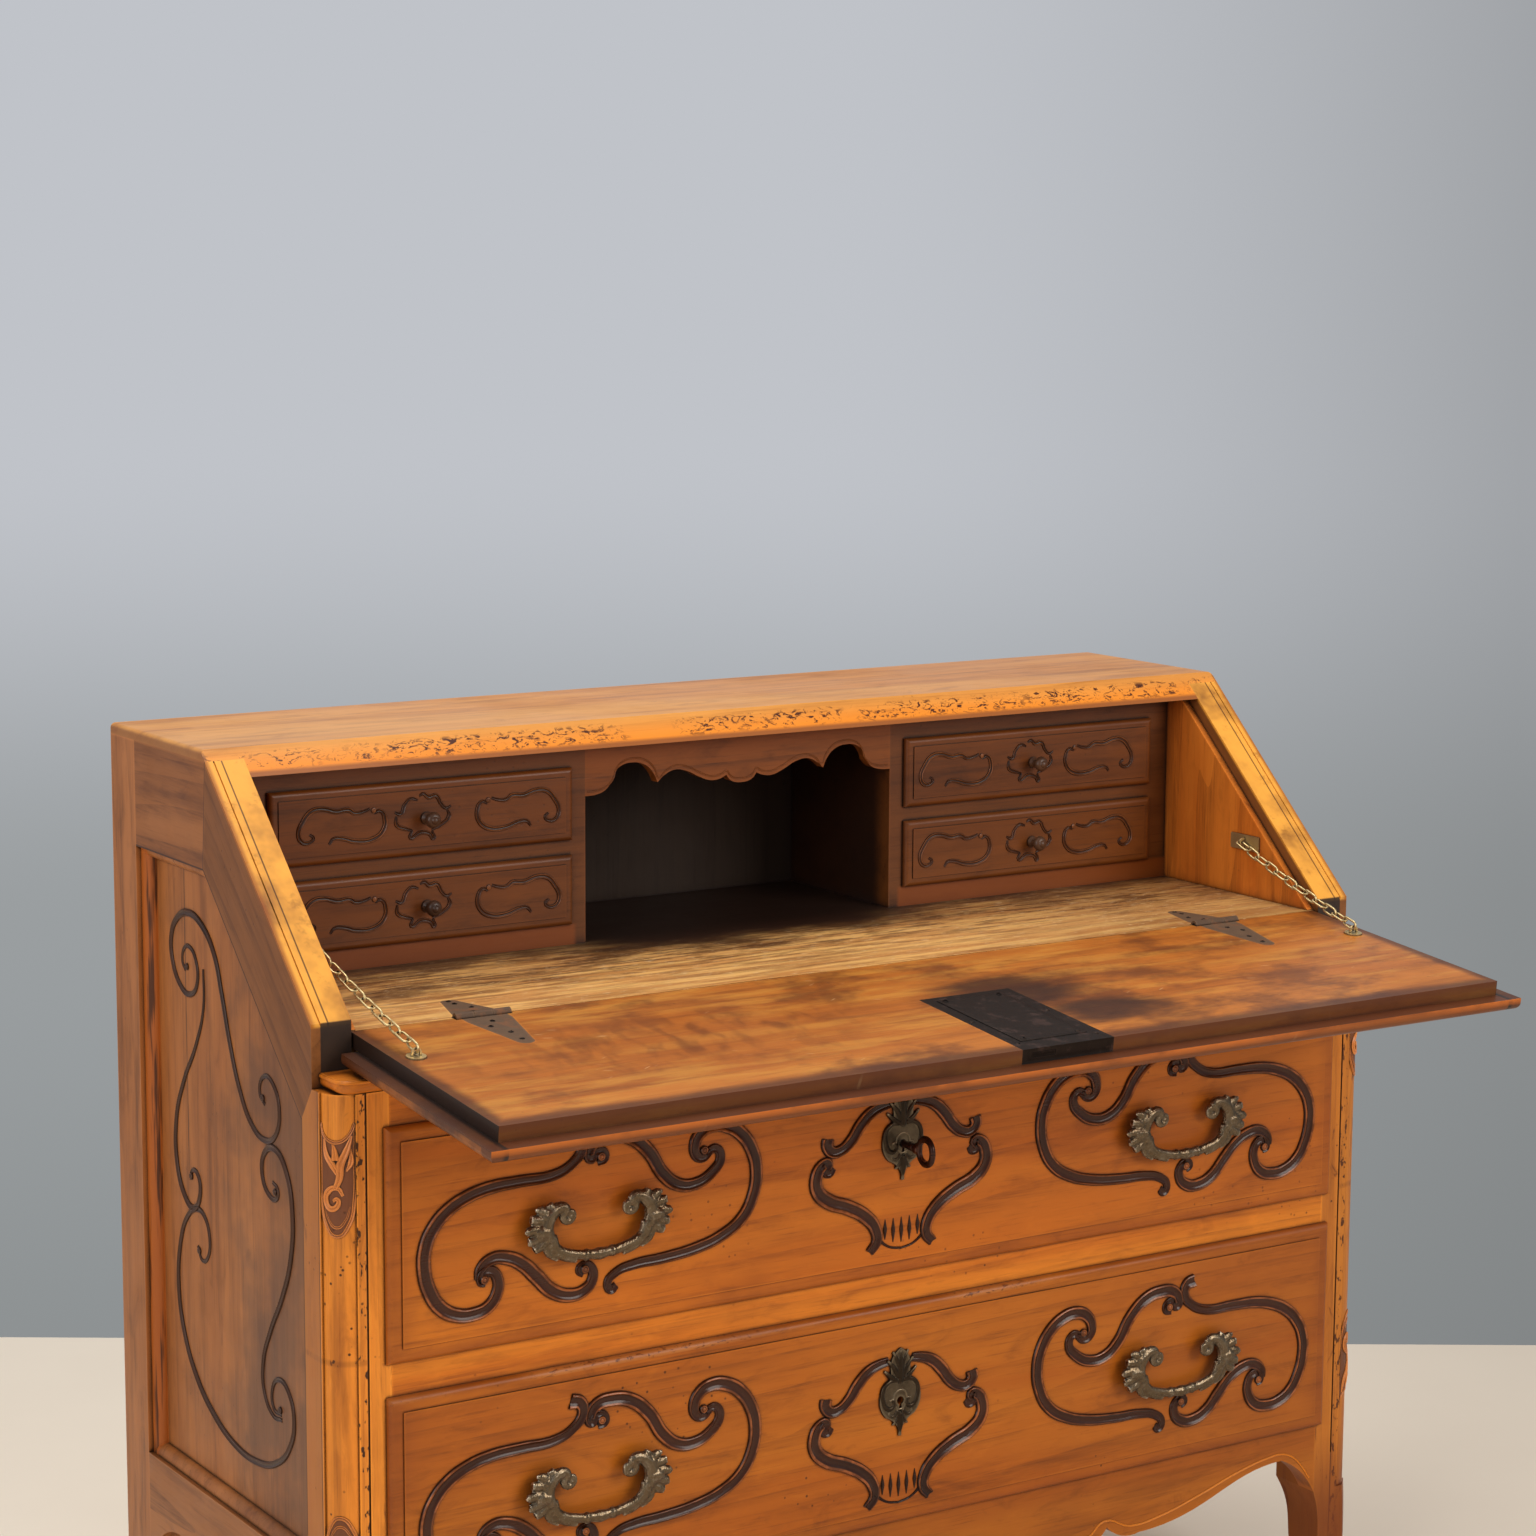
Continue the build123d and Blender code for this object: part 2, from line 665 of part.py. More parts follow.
def wall_staple_place():
    """Where the left wall plate's staple stands: out from the cheek, its crown upright."""
    return Plane(origin=(-cheek_x + chain_plate_thickness, chain_wall_setback, writing_height + chain_wall_rise),
                 x_dir=(0, 0, 1), z_dir=(1, 0, 0))


def fall_staple_place():
    """Where the left fall plate's staple stands, in the fall's own frame, its crown across."""
    return Plane(origin=(-chain_fall_x, -chain_fall_reach, chain_plate_thickness), x_dir=(1, 0, 0), z_dir=(0, 0, 1))


def stay_chain():
    """Left stay chain: links hooked through each other, alternately flat and on edge, with a little sag."""
    crown = Vector(0, 0, staple_stand)
    start = wall_staple_place().from_local_coords(crown)
    end = (fall_place * Location(fall_staple_place().from_local_coords(crown))).position
    run = end - start
    reach = run.normalized() * (chain_wire / 2 + chain_end_gap)
    first = start - reach
    step = (run + reach * 2) / chain_links
    length = step.length + 2 * chain_wire + chain_play
    outside = SlotOverall(length, chain_link_width)
    inside = SlotOverall(length - 2 * chain_wire, chain_link_width - 2 * chain_wire)
    link = extrude(outside - inside, chain_wire / 2, both=True)
    links = []
    for number in range(chain_links):
        share = (number + 0.5) / chain_links
        sag = chain_sag * 4 * share * (1 - share)
        dip = chain_sag * 4 * (1 - 2 * share) / chain_links
        heading = step - Vector(0, 0, dip)
        across = heading.cross(Vector(0, 0, 1)).normalized()
        normal = across if number % 2 else heading.cross(across).normalized()
        place = Plane(origin=first + step * (number + 0.5) - Vector(0, 0, sag), x_dir=heading, z_dir=normal)
        links.append(place * link)
    return Compound(links)


def chain_wall_plates():
    """Plates on the cheeks with the staples that hold the chains."""
    low = chain_wall_setback - chain_plate_length / 2
    middle = writing_height + chain_wall_rise
    plate = block((-cheek_x, -cheek_x + chain_plate_thickness), (low, low + chain_plate_length),
                  (middle - chain_plate_height / 2, middle + chain_plate_height / 2))
    return both(plate + staple(wall_staple_place()))


def chain_fall_plates():
    """Round plates with staples on the fall, in the fall's own frame."""
    plate = Pos(-chain_fall_x, -chain_fall_reach, 0) * Cylinder(
        chain_rosette_radius, chain_plate_thickness, align=(Align.CENTER, Align.CENTER, Align.MIN))
    return both(plate + staple(fall_staple_place()))


# ---- Long drawers ----
def bolt_layer():
    """Span of y that a drawer lock's bolt slides in."""
    back = lock_set_back + lock_depth - lock_skin - bolt_gap
    return (back - bolt_thickness, back)


def drawer_front(floor, height, key_drop):
    """Lipped drawer front with a raised field, its lock's recess and keyhole."""
    lip_half = post_x + lip_overlap
    low = floor - lip_overlap
    high = floor + height + lip_overlap
    border = lip_stand - lip_field_step
    lip = block((-lip_half, lip_half), (-border, -closing_gap), (low, high))
    lip = fillet(lip.edges().group_by(Axis.Y)[0], border - 1)
    field = block((-lip_half + lip_border, lip_half - lip_border), (-lip_stand, -border),
                  (low + lip_border, high - lip_border))
    inner = block((-post_x + drawer_gap_side, post_x - drawer_gap_side), (-closing_gap, front_thickness),
                  (floor + drawer_run_gap, floor + height - drawer_top_gap))
    front = lip + field + inner
    key_z = floor + height - key_drop
    front -= rod((0, -20, key_z), (0, 30, key_z), key_hole_radius)
    return front - lock_space(floor, height, 0)


def lock_space(floor, height, skin):
    """The recess of a drawer lock, less a skin on each wall; it is open at the drawer's top edge."""
    top = floor + height - drawer_top_gap
    return block((-lock_width / 2 + skin, lock_width / 2 - skin),
                 (lock_set_back + skin, lock_set_back + lock_depth - skin), (top - lock_height + skin, top - skin))


def lock_case(floor, height, key_drop):
    """Hollow iron lock case with a slot for the bolt and a hole for the key."""
    top = floor + height - drawer_top_gap
    layer = bolt_layer()
    case = lock_space(floor, height, 0) - lock_space(floor, height, lock_skin)
    slot = block((-bolt_width / 2 - bolt_gap, bolt_width / 2 + bolt_gap),
                 (layer[0] - bolt_gap, layer[1] + bolt_gap), (top - 5, top + 1))
    key_z = floor + height - key_drop
    return case - slot - rod((0, 0, key_z), (0, lock_set_back + 2, key_z), key_hole_radius)


def lock_bolt(floor, height, key_drop):
    """Bolt of a drawer lock, drawn in."""
    layer = bolt_layer()
    top = floor + height - drawer_top_gap
    key_z = floor + height - key_drop
    return block((-bolt_width / 2, bolt_width / 2), layer, (key_z + key_shank_radius + 4, top))


def drawer_box(floor, height):
    """Sides, back and bottom of a long drawer."""
    half = post_x - drawer_gap_side
    low = floor + drawer_run_gap
    high = floor + height - drawer_top_gap - 6
    rear = back_y - box_back_gap
    outside = block((-half, half), (front_thickness, rear), (low, high))
    inside = block((-half + box_wall, half - box_wall), (front_thickness - 1, rear - box_wall),
                   (low + box_bottom_lift + box_bottom, high + 1))
    under = block((-half + box_wall, half - box_wall), (front_thickness - 1, rear - box_wall),
                  (low - 1, low + box_bottom_lift))
    box = outside - inside - under
    lock_room = block((-lock_width / 2 - 1, lock_width / 2 + 1), (0, lock_set_back + lock_depth + 1), (low, high))
    return box - lock_room


def handle_level(floor, height):
    """Height of a handle's middle on a long drawer."""
    return floor + height / 2 + handle_rise


def handle_axis_z(floor, height):
    """Height of the bail's pivot axis."""
    return handle_level(floor, height) + 8


def handle_posts(floor, height):
    """Studs of both handles, each with an eye for the bail's pin."""
    z = handle_axis_z(floor, height)
    axis_y = -lip_stand - handle_stand
    studs = []
    for side in (-1, 1):
        for end in (-1, 1):
            x = side * handle_x + end * handle_half
            stud = rod((x, axis_y, z), (x, -lip_stand, z), 2.4)
            stud += rod((x - bail_eye_width / 2, axis_y, z), (x + bail_eye_width / 2, axis_y, z), bail_eye_radius)
            stud -= rod((x - 9, axis_y, z), (x + 9, axis_y, z), bail_pin_radius + pin_gap)
            studs.append(stud)
    return Compound(studs)


def bail(side, floor, height):
    """One cast drop handle: two leafy heads, pins through the posts' eyes, and the drop between them."""
    z = handle_axis_z(floor, height)
    axis_y = -lip_stand - handle_stand
    head_y = axis_y - bail_eye_radius - 1
    drop_y = head_y - bail_head_thickness / 2
    centre = side * handle_x
    low = handle_level(floor, height) - bail_drop
    plane = Plane(origin=(centre, drop_y, 0), x_dir=(1, 0, 0), z_dir=(0, -1, 0))
    turn = (handle_half * 0.6, low + 9.5)
    bow = ThreePointArc((-turn[0], turn[1]), (0, low), turn)
    right = TangentArc(turn, (handle_half - 2, z - 6), tangent=bow % 1)
    left = TangentArc((-turn[0], turn[1]), (2 - handle_half, z - 6), tangent=-(bow % 0))
    drop = Part()
    for arc in (left, bow, right):
        line = plane * arc
        drop += sweep(Plane(origin=line @ 0, z_dir=line % 0) * Circle(bail_radius), path=line)
    for end in (-1, 1):
        x = centre + end * handle_half
        outline = Ellipse(bail_head_length / 2, bail_head_height / 2)
        tilt = end * 12
        head_plane = Plane(origin=(x + end * 1, head_y, z - 5), x_dir=(cos(radians(tilt)), 0, -sin(radians(tilt))),
                           z_dir=(0, -1, 0))
        drop += extrude(head_plane * outline, bail_head_thickness)
        for lug in (-1, 1):
            inner = bail_eye_width / 2 + bail_lug_gap
            low_x = x + inner if lug > 0 else x - inner - bail_lug_width
            ear = rod((low_x, axis_y, z), (low_x + bail_lug_width, axis_y, z), bail_eye_radius - 0.6)
            ear += block((low_x, low_x + bail_lug_width), (head_y - 0.5, axis_y),
                         (z - bail_eye_radius + 0.6, z + bail_eye_radius - 0.6))
            drop += ear
        reach = bail_eye_width / 2 + bail_lug_gap + bail_lug_width
        drop += rod((x - reach, axis_y, z), (x + reach, axis_y, z), bail_pin_radius)
    return drop


def key(floor, height, key_drop):
    """Key of the upper drawer: bow, collar, shank and bit, the bit pointing down."""
    z = floor + height - key_drop
    tip = lock_set_back + lock_skin + 0.5 + key_bit_length
    shank = rod((0, -key_stand + key_bow_width / 2, z), (0, tip, z), key_shank_radius)
    collar_y = -key_stand + key_bow_width + 3
    shank += rod((0, collar_y, z), (0, collar_y + 4, z), key_shank_radius + 1.4)
    bow_plane = Plane(origin=(0, -key_stand, z), x_dir=(0, 1, 0), z_dir=(1, 0, 0))
    bow = bow_plane * (Ellipse(key_bow_width / 2 + 3, key_bow_height / 2)
                       - Ellipse(key_bow_width / 2 - 1, key_bow_height / 2 - 4))
    ring = extrude(bow, key_bow_thickness / 2, both=True)
    bit = block((-1, 1), (tip - key_bit_length, tip), (z - key_shank_radius - key_bit_height, z))
    hollow = Pos(0, -key_stand, z) * Box(20, key_bow_width - 3, key_bow_height - 9)
    return (shank - hollow) + ring + bit


# ---- Nest of small drawers ----
nest_inner = compartment_half + divider_thickness
nest_outer = cheek_x - nest_stile_width
nest_lower_floor = writing_height + nest_bottom_rail
nest_upper_floor = nest_lower_floor + nest_mouth_lower + nest_middle_rail


def nest_frame():
    """Left half of the nest: divider, end stile, rails and shelves, with mouths for two drawers."""
    top = writing_height + nest_height
    divider = block((-nest_inner, -compartment_half), (nest_setback, back_y), (writing_height, top))
    stile = block((-cheek_x, -nest_outer), (nest_setback, nest_setback + nest_stile_depth), (writing_height, top))
    frame = divider + stile
    for floor, mouth in ((nest_lower_floor, nest_bottom_rail), (nest_upper_floor, nest_middle_rail)):
        frame += block((-nest_outer, -nest_inner), (nest_setback, nest_setback + nest_stile_depth),
                       (floor - mouth, floor))
        frame += block((-cheek_x, -nest_inner), (nest_setback + nest_stile_depth, back_y),
                       (floor - nest_shelf_thickness, floor))
        frame += block((-nest_outer - small_wall, -nest_outer), (nest_setback + nest_stile_depth, back_y),
                       (floor, floor + 15))
    upper_mouth_top = nest_upper_floor + nest_mouth_upper
    frame += block((-nest_outer, -nest_inner), (nest_setback, nest_setback + nest_stile_depth),
                   (upper_mouth_top, top))
    return frame


def valance():
    """Scalloped board across the top of the open compartment."""
    top = writing_height + nest_height
    right = ((0.0, 1.0), (0.08, 0.9), (0.17, 0.98), (0.3, 0.72), (0.4, 0.62), (0.47, 0.72), (0.52, 0.92),
             (0.58, 0.6), (0.65, 0.42), (0.72, 0.46), (0.79, 0.7), (0.84, 0.96), (0.9, 0.98), (0.95, 1.16),
             (1.0, 1.18))
    edge = [(compartment_half * a, top - valance_drop * b) for a, b in right]
    outline = [(-compartment_half, top), *[(-x, z) for x, z in reversed(edge[1:])], *edge, (compartment_half, top)]
    return front_plate(outline, (nest_setback, nest_setback + valance_thickness))


def small_drawer(floor, mouth):
    """Left small drawer: lipped front with a raised field, on a thin-walled box."""
    inner = -nest_inner + small_lip_overlap
    outer = -nest_outer - small_lip_overlap
    low = floor - small_lip_overlap
    high = floor + mouth + small_lip_overlap
    face = nest_setback - closing_gap
    border = small_lip_stand - 1.2
    lip = block((outer, inner), (nest_setback - border, face), (low, high))
    lip = fillet(lip.edges().group_by(Axis.Y)[0], border - 2)
    field = block((outer + 9, inner - 9), (nest_setback - small_lip_stand, nest_setback - border),
                  (low + 9, high - 9))
    body_x = (-nest_outer + small_gap, -nest_inner - small_gap)
    body_z = (floor + drawer_run_gap, floor + mouth - small_gap)
    front = block(body_x, (face, nest_setback + small_front_thickness), body_z)
    rear = back_y - 20
    box = block(body_x, (nest_setback + small_front_thickness, rear), (body_z[0], body_z[1] - 4))
    hollow = block((body_x[0] + small_wall, body_x[1] - small_wall),
                   (nest_setback + small_front_thickness, rear - small_wall),
                   (body_z[0] + small_bottom, body_z[1] + 1))
    return lip + field + front + (box - hollow)


def knob(floor, mouth):
    """Turned knob of the left small drawer."""
    x = -(nest_inner + nest_outer) / 2
    z = floor + mouth / 2
    neck = knob_radius * 0.4
    rim = knob_length * 0.66
    button = knob_radius * 0.5
    foot = Polyline((0, knob_length), (0, 0), (neck + 2.5, 0), (neck + 2.5, 2), (neck, 4))
    neck_curve = ThreePointArc((neck, 4), (neck + 0.8, rim * 0.7), (knob_radius, rim))
    cap_foot = knob_length * 0.9
    rise = knob_length - cap_foot
    cap_radius = (button ** 2 + rise ** 2) / (2 * rise)
    head = ThreePointArc((knob_radius, rim), (knob_radius - 0.5, rim + 2.6), (button, cap_foot))
    tip = RadiusArc((button, cap_foot), (0, knob_length), -cap_radius)
    turned = revolve(Plane.XZ * make_face(foot + neck_curve + head + tip), Axis.Z)
    return Pos(x, nest_setback - small_lip_stand, z) * Rot(90, 0, 0) * turned


# ---- Write every node ----
write_pair(front_post(), "front_post")
write_pair(rear_post(), "rear_post")
write(both(post_cap()), "post_caps")
write(both(side_top_rail()), "side_top_rails")
write_pair(slanted_stile(), "slanted_stile")
write_pair(side_bottom_rail(), "side_bottom_rail")
write_pair(side_panel(), "side_panel")
write(both(inner_cheek()), "inner_cheeks")
write(top_board(), "top_board")
write(back_panel(), "back_panel")
write(writing_bed(), "writing_bed")
write(front_top_rail(), "front_top_rail")
write(middle_rail(), "middle_rail")
write(apron(), "apron")
write(dust_board(upper_floor, rail_depth), "upper_dust_board")
write(dust_board(lower_floor, apron_thickness), "lower_dust_board")
write(drawer_guides(), "drawer_guides")
write_pair(nest_frame(), "nest_frame")
write(valance(), "nest_valance")
write(bed_leaves(), "bed_hinge_leaves")
write(hinge_pins(), "hinge_pins")
write(both(stay_chain()), "stay_chains")
write(chain_wall_plates(), "chain_wall_plates")

write(fall_place * fall_board(), "fall_board")
write(fall_place * fall_leaves(), "fall_hinge_leaves")
write(fall_place * chain_fall_plates(), "chain_fall_plates")
write(fall_place * fall_lock_case(), "fall_lock_case")
write(fall_place * fall_escutcheon(), "fall_escutcheon")
write(fall_place * fall_bolt(), "fall_lock_bolt")

long_drawers = (("upper_drawer", upper_floor, upper_mouth_height, key_drop_upper),
                ("lower_drawer", lower_floor, lower_mouth_height, key_drop_lower))
for drawer, floor, height, key_drop in long_drawers:
    write(drawer_front(floor, height, key_drop), f"{drawer}_front")
    write(drawer_box(floor, height), f"{drawer}_box")
    write(lock_case(floor, height, key_drop), f"{drawer}_lock_case")
    write(lock_bolt(floor, height, key_drop), f"{drawer}_lock_bolt")
    write(Pos(0, -lip_stand, floor + height - key_drop) * escutcheon(), f"{drawer}_escutcheon")
    write(handle_posts(floor, height), f"{drawer}_handle_posts")
    write(bail(-1, floor, height), f"{drawer}_bail_left")
    write(bail(1, floor, height), f"{drawer}_bail_right")
write(key(upper_floor, upper_mouth_height, key_drop_upper), "key")

small_drawers = (("lower", nest_lower_floor, nest_mouth_lower), ("upper", nest_upper_floor, nest_mouth_upper))
for level, floor, mouth in small_drawers:
    write_pair(small_drawer(floor, mouth), f"{level}_small_drawer")
    write_pair(knob(floor, mouth), f"{level}_knob")

print("hinge_y", round(hinge_y, 2), "fall_length", round(fall_length, 2), "row_shift", round(row_shift, 2))
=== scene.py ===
# %% [markdown]
# # A drop-front writing bureau
# The bureau is walnut, carved and polished, from the eighteenth century. It has
# two long drawers, a slanted front that opens down to write on, and a nest of
# small drawers behind it. Its boards, drawers and joints already exist as a
# measured model. This lesson loads that model, lights it, gives every board
# and fitting a finish, and then adds what a carver, a founder and a smith
# added: scrolls, handles, keyhole plates, chains and nails.

# %% Load the measured model
import math
import bpy
import bmesh
from mathutils import Matrix, Vector


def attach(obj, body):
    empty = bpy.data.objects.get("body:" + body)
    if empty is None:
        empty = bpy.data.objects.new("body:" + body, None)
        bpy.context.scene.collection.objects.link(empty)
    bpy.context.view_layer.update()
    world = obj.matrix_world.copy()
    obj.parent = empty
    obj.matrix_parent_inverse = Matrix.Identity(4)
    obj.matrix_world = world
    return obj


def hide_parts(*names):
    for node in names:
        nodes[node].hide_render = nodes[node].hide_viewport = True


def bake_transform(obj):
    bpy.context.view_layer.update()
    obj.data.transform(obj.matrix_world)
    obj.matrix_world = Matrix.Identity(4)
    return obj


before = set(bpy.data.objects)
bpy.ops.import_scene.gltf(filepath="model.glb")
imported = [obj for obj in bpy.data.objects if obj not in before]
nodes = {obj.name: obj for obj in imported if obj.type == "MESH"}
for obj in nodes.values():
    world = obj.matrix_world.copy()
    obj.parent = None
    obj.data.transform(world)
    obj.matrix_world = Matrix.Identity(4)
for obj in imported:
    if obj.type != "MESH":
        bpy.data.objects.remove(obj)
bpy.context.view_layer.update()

scene = bpy.context.scene
print("boards and fittings in the model:", len(nodes))

# %% [markdown]
# ## The eye
# A piece of furniture looks true only from the height and distance at which
# people stand. The camera is at the height of a standing person's chest and
# about three metres off to the left, so that the side panel, the open front
# and both drawers all show. Its lens is a long one, which keeps the sides
# nearly parallel. Yaw, pitch and roll are written as three turns, and the
# camera's own axes follow from them.

# %% Camera
yaw, pitch, roll = math.radians(32.511), math.radians(-8.466), math.radians(0.298)
look = Vector((math.sin(yaw) * math.cos(pitch), math.cos(yaw) * math.cos(pitch), math.sin(pitch)))
level = Vector((math.cos(yaw), -math.sin(yaw), 0))
upright = level.cross(look)
right = level * math.cos(roll) + upright * math.sin(roll)
up = upright * math.cos(roll) - level * math.sin(roll)

eye = bpy.data.objects.new("eye", bpy.data.cameras.new("eye"))
eye.data.lens, eye.data.sensor_width = 82.85, 36
turn = Matrix((right, up, -look)).transposed().to_4x4()
eye.matrix_world = Matrix.Translation((-1.8926, -2.8514, 1.4532)) @ turn
scene.collection.objects.link(eye)
scene.camera = eye
print("camera stands at", [round(v, 2) for v in eye.location])

# %% [markdown]
# ## The studio
# Polished wood shows its figure under large, soft lamps: a big key lamp in
# front on the right, a weaker fill on the left for the side panel, a third
# above the top board, and the pale room itself. The lamps are area lamps,
# because their softness is their size.

# %% Lamps
def lamp(name, place, target, size, power, tint):
    """A square soft box at a place, turned towards a target."""
    light = bpy.data.lights.new(name, "AREA")
    light.shape, light.size, light.energy, light.color = "SQUARE", size, power, tint
    box = bpy.data.objects.new(name, light)
    box.matrix_world = Matrix.Translation(place) @ (
        (Vector(target) - Vector(place)).to_track_quat("-Z", "Y").to_matrix().to_4x4())
    scene.collection.objects.link(box)
    print(name, "gives", power, "W")


lamp("key_lamp", (1.7, -3.3, 2.3), (0, 0, 0.5), 2.0, 96, (1, 0.95, 0.88))
lamp("fill_lamp", (-3.4, -1.6, 1.9), (0, 0, 0.6), 2.2, 54, (1, 0.97, 0.94))
lamp("top_lamp", (-0.2, 0.5, 3.3), (0, 0.0, 0.8), 1.8, 46, (1, 0.96, 0.9))

# %% [markdown]
# ## Shader sums in plain arithmetic
# A finish is worked out from many small sums: this much dark streak, less of
# it where hands have rubbed. Blender does each sum with a node. To keep the
# sums readable, a socket is wrapped in a small class whose operators add the
# Math nodes, so `1 - rubbed * 0.4` is written just as it reads. Every other
# node comes from one method that sets the node's options first and then its
# sockets.

# %% Amounts and graphs
class Amount:
    """A number or colour on its way from one shader node to another."""

    def __init__(self, graph, socket):
        self.graph, self.socket = graph, socket

    def sum(self, operation, *terms):
        return self.graph.node("Math", {"operation": operation}, dict(enumerate(terms)))

    def __add__(self, other):
        return self.sum("ADD", self, other)

    def __radd__(self, other):
        return self.sum("ADD", other, self)

    def __sub__(self, other):
        return self.sum("SUBTRACT", self, other)

    def __rsub__(self, other):
        return self.sum("SUBTRACT", other, self)

    def __mul__(self, other):
        return self.sum("MULTIPLY", self, other)

    def __rmul__(self, other):
        return self.sum("MULTIPLY", other, self)

    def __abs__(self):
        return self.sum("ABSOLUTE", self)

    def least(self, other):
        return self.sum("MINIMUM", self, other)

    def most(self, other):
        return self.sum("MAXIMUM", self, other)

    def rise(self, low, high):
        """0 below low, 1 above high, and an easy slope between."""
        return self.graph.node("MapRange", {"interpolation_type": "SMOOTHSTEP"}, {0: self, 1: low, 2: high})


class Graph:
    """The nodes of one finish, or of the room."""

    def __init__(self, tree):
        self.tree = tree
        tree.nodes.clear()

    def node(self, kind, settings=None, sockets=None, out=0):
        made = self.tree.nodes.new("ShaderNode" + kind)
        for name, value in (settings or {}).items():
            setattr(made, name, value)
        for name, value in (sockets or {}).items():
            self.feed(made.inputs[name], value)
        return Amount(self, made.outputs[out]) if made.outputs else None

    def feed(self, socket, value):
        if isinstance(value, Amount):
            self.tree.links.new(value.socket, socket)
        elif socket.type == "RGBA" and len(value) == 3:
            socket.default_value = (*value, 1)
        else:
            socket.default_value = value

    def spot(self):
        """A point's place on its own piece, in metres."""
        return self.node("TexCoord", out=3)

    def place(self, stretch=(1, 1, 1), shift=(0, 0, 0), tilt=(0, 0, 0), of=None):
        """A point's place, moved, turned and then stretched."""
        point = of or self.spot()
        if any(tilt) or any(shift):
            point = self.node("Mapping", {}, {0: point, 1: shift, 2: tilt})
        return self.node("Mapping", {}, {0: point, 3: stretch})

    def axes(self, point):
        """The x, y and z of a point, as three amounts."""
        split = self.node("SeparateXYZ", {}, {0: point})
        return [Amount(self, socket) for socket in split.socket.node.outputs]

    def noise(self, place, scale, detail=3.0, roughness=0.5, distortion=0.0):
        return self.node("TexNoise", {}, {"Vector": place, "Scale": scale, "Detail": detail,
                                          "Roughness": roughness, "Distortion": distortion})

    def mix(self, amount, first, second):
        return self.node("Mix", {"data_type": "RGBA"}, {0: amount, 6: first, 7: second}, out=2)

    def shut(self, distance, inside=False):
        """How closed in a point is; with inside, how near it is to an edge."""
        settings = {"samples": 6, "inside": inside, "only_local": inside}
        return 1 - self.node("AmbientOcclusion", settings, {"Distance": distance}, out=1)


def tone(red, green, blue):
    """A colour read off a swatch, 0 to 255, as the light that it stands for."""
    return tuple(v / 12.92 if v <= 0.04045 else ((v + 0.055) / 1.055) ** 2.4
                 for v in (red / 255, green / 255, blue / 255))


def new_finish(name):
    """An empty material, and the graph that fills it."""
    material = bpy.data.materials.new(name)
    material.use_nodes = True
    return material, Graph(material.node_tree)


print("tone(128, 128, 128) is", [round(v, 3) for v in tone(128, 128, 128)])

# %% [markdown]
# ## The room
# The wall is a dull grey-blue and the floor a pale stone. The wall is only
# what the eye and the polished surfaces see, so that it can't block a view
# from behind: it is painted on the world, with painted light and shade that
# make it lighter high up and darker to the right, while the light that the
# world sheds is a weak, even white. The floor is a plane that ends where the
# wall would stand, and it keeps the bureau's shadow; it is also painted
# darker further from the eye, as shade.

# %% Wall and floor
scene.view_settings.view_transform = "Standard"
world = bpy.data.worlds.new("room")
scene.world = world
world.use_nodes = True
room = Graph(world.node_tree)
across, back, height = room.axes(room.node("TexCoord", out=0))
# Painted light and shade: the wall lighter high up and darker to the right.
wall = room.mix(height.rise(-0.33, -0.18), tone(140, 144, 145), tone(154, 158, 160))
wall = room.mix(height.rise(-0.19, -0.055), wall, tone(192, 195, 201))
sideways = across * math.cos(yaw) - back * math.sin(yaw)
wall = room.mix((sideways.rise(0.0, 0.4) * 0.95).least(0.5), wall, tone(120, 122, 122))
seen = room.node("LightPath", out=0).most(room.node("LightPath", out=3)).most(room.node("LightPath", out=6))
paint = room.node("Background", {}, {"Color": wall, "Strength": 1.0})
light = room.node("Background", {}, {"Color": (0.86, 0.92, 1.0), "Strength": 0.5})
shown = room.node("MixShader", {}, {0: seen, 1: light, 2: paint})
room.node("OutputWorld", {}, {"Surface": shown})

stone, graph = new_finish("stone_floor")
spot = graph.spot()
speckle = graph.noise(spot, 3.0, 4.0)
across, back, height = graph.axes(spot)
away = (across - eye.location.x) * math.cos(yaw) - (back - eye.location.y) * math.sin(yaw)
colour = graph.mix(speckle, tone(246, 232, 213), tone(238, 223, 204))
# Painted shade: the floor darker further from the eye.
colour = graph.mix(away.rise(0.1, 1.1) * 0.35, colour, tone(130, 120, 110))
graph.node("OutputMaterial", {}, {"Surface": graph.node("BsdfDiffuse", {}, {"Color": colour})})

bpy.ops.object.select_all(action="DESELECT")
bpy.ops.mesh.primitive_plane_add(size=2, enter_editmode=True)
to_wall, depth, half_width = 4.56, 9.0, 9
ahead = Vector((math.sin(yaw), math.cos(yaw), 0))
below_eye = Vector((eye.location.x, eye.location.y, 0))
bpy.ops.transform.resize(value=(half_width, depth / 2, 1))
bpy.ops.transform.rotate(value=yaw, orient_axis="Z", center_override=(0, 0, 0))
bpy.ops.transform.translate(value=below_eye + ahead * (to_wall - depth / 2))
bpy.ops.object.mode_set(mode="OBJECT")
floor = bpy.context.object
floor.name = "floor"
floor.data.materials.append(stone)
print("the floor reaches from the eye, in metres:",
      [round((corner.co - below_eye).dot(ahead), 2) for corner in floor.data.vertices])
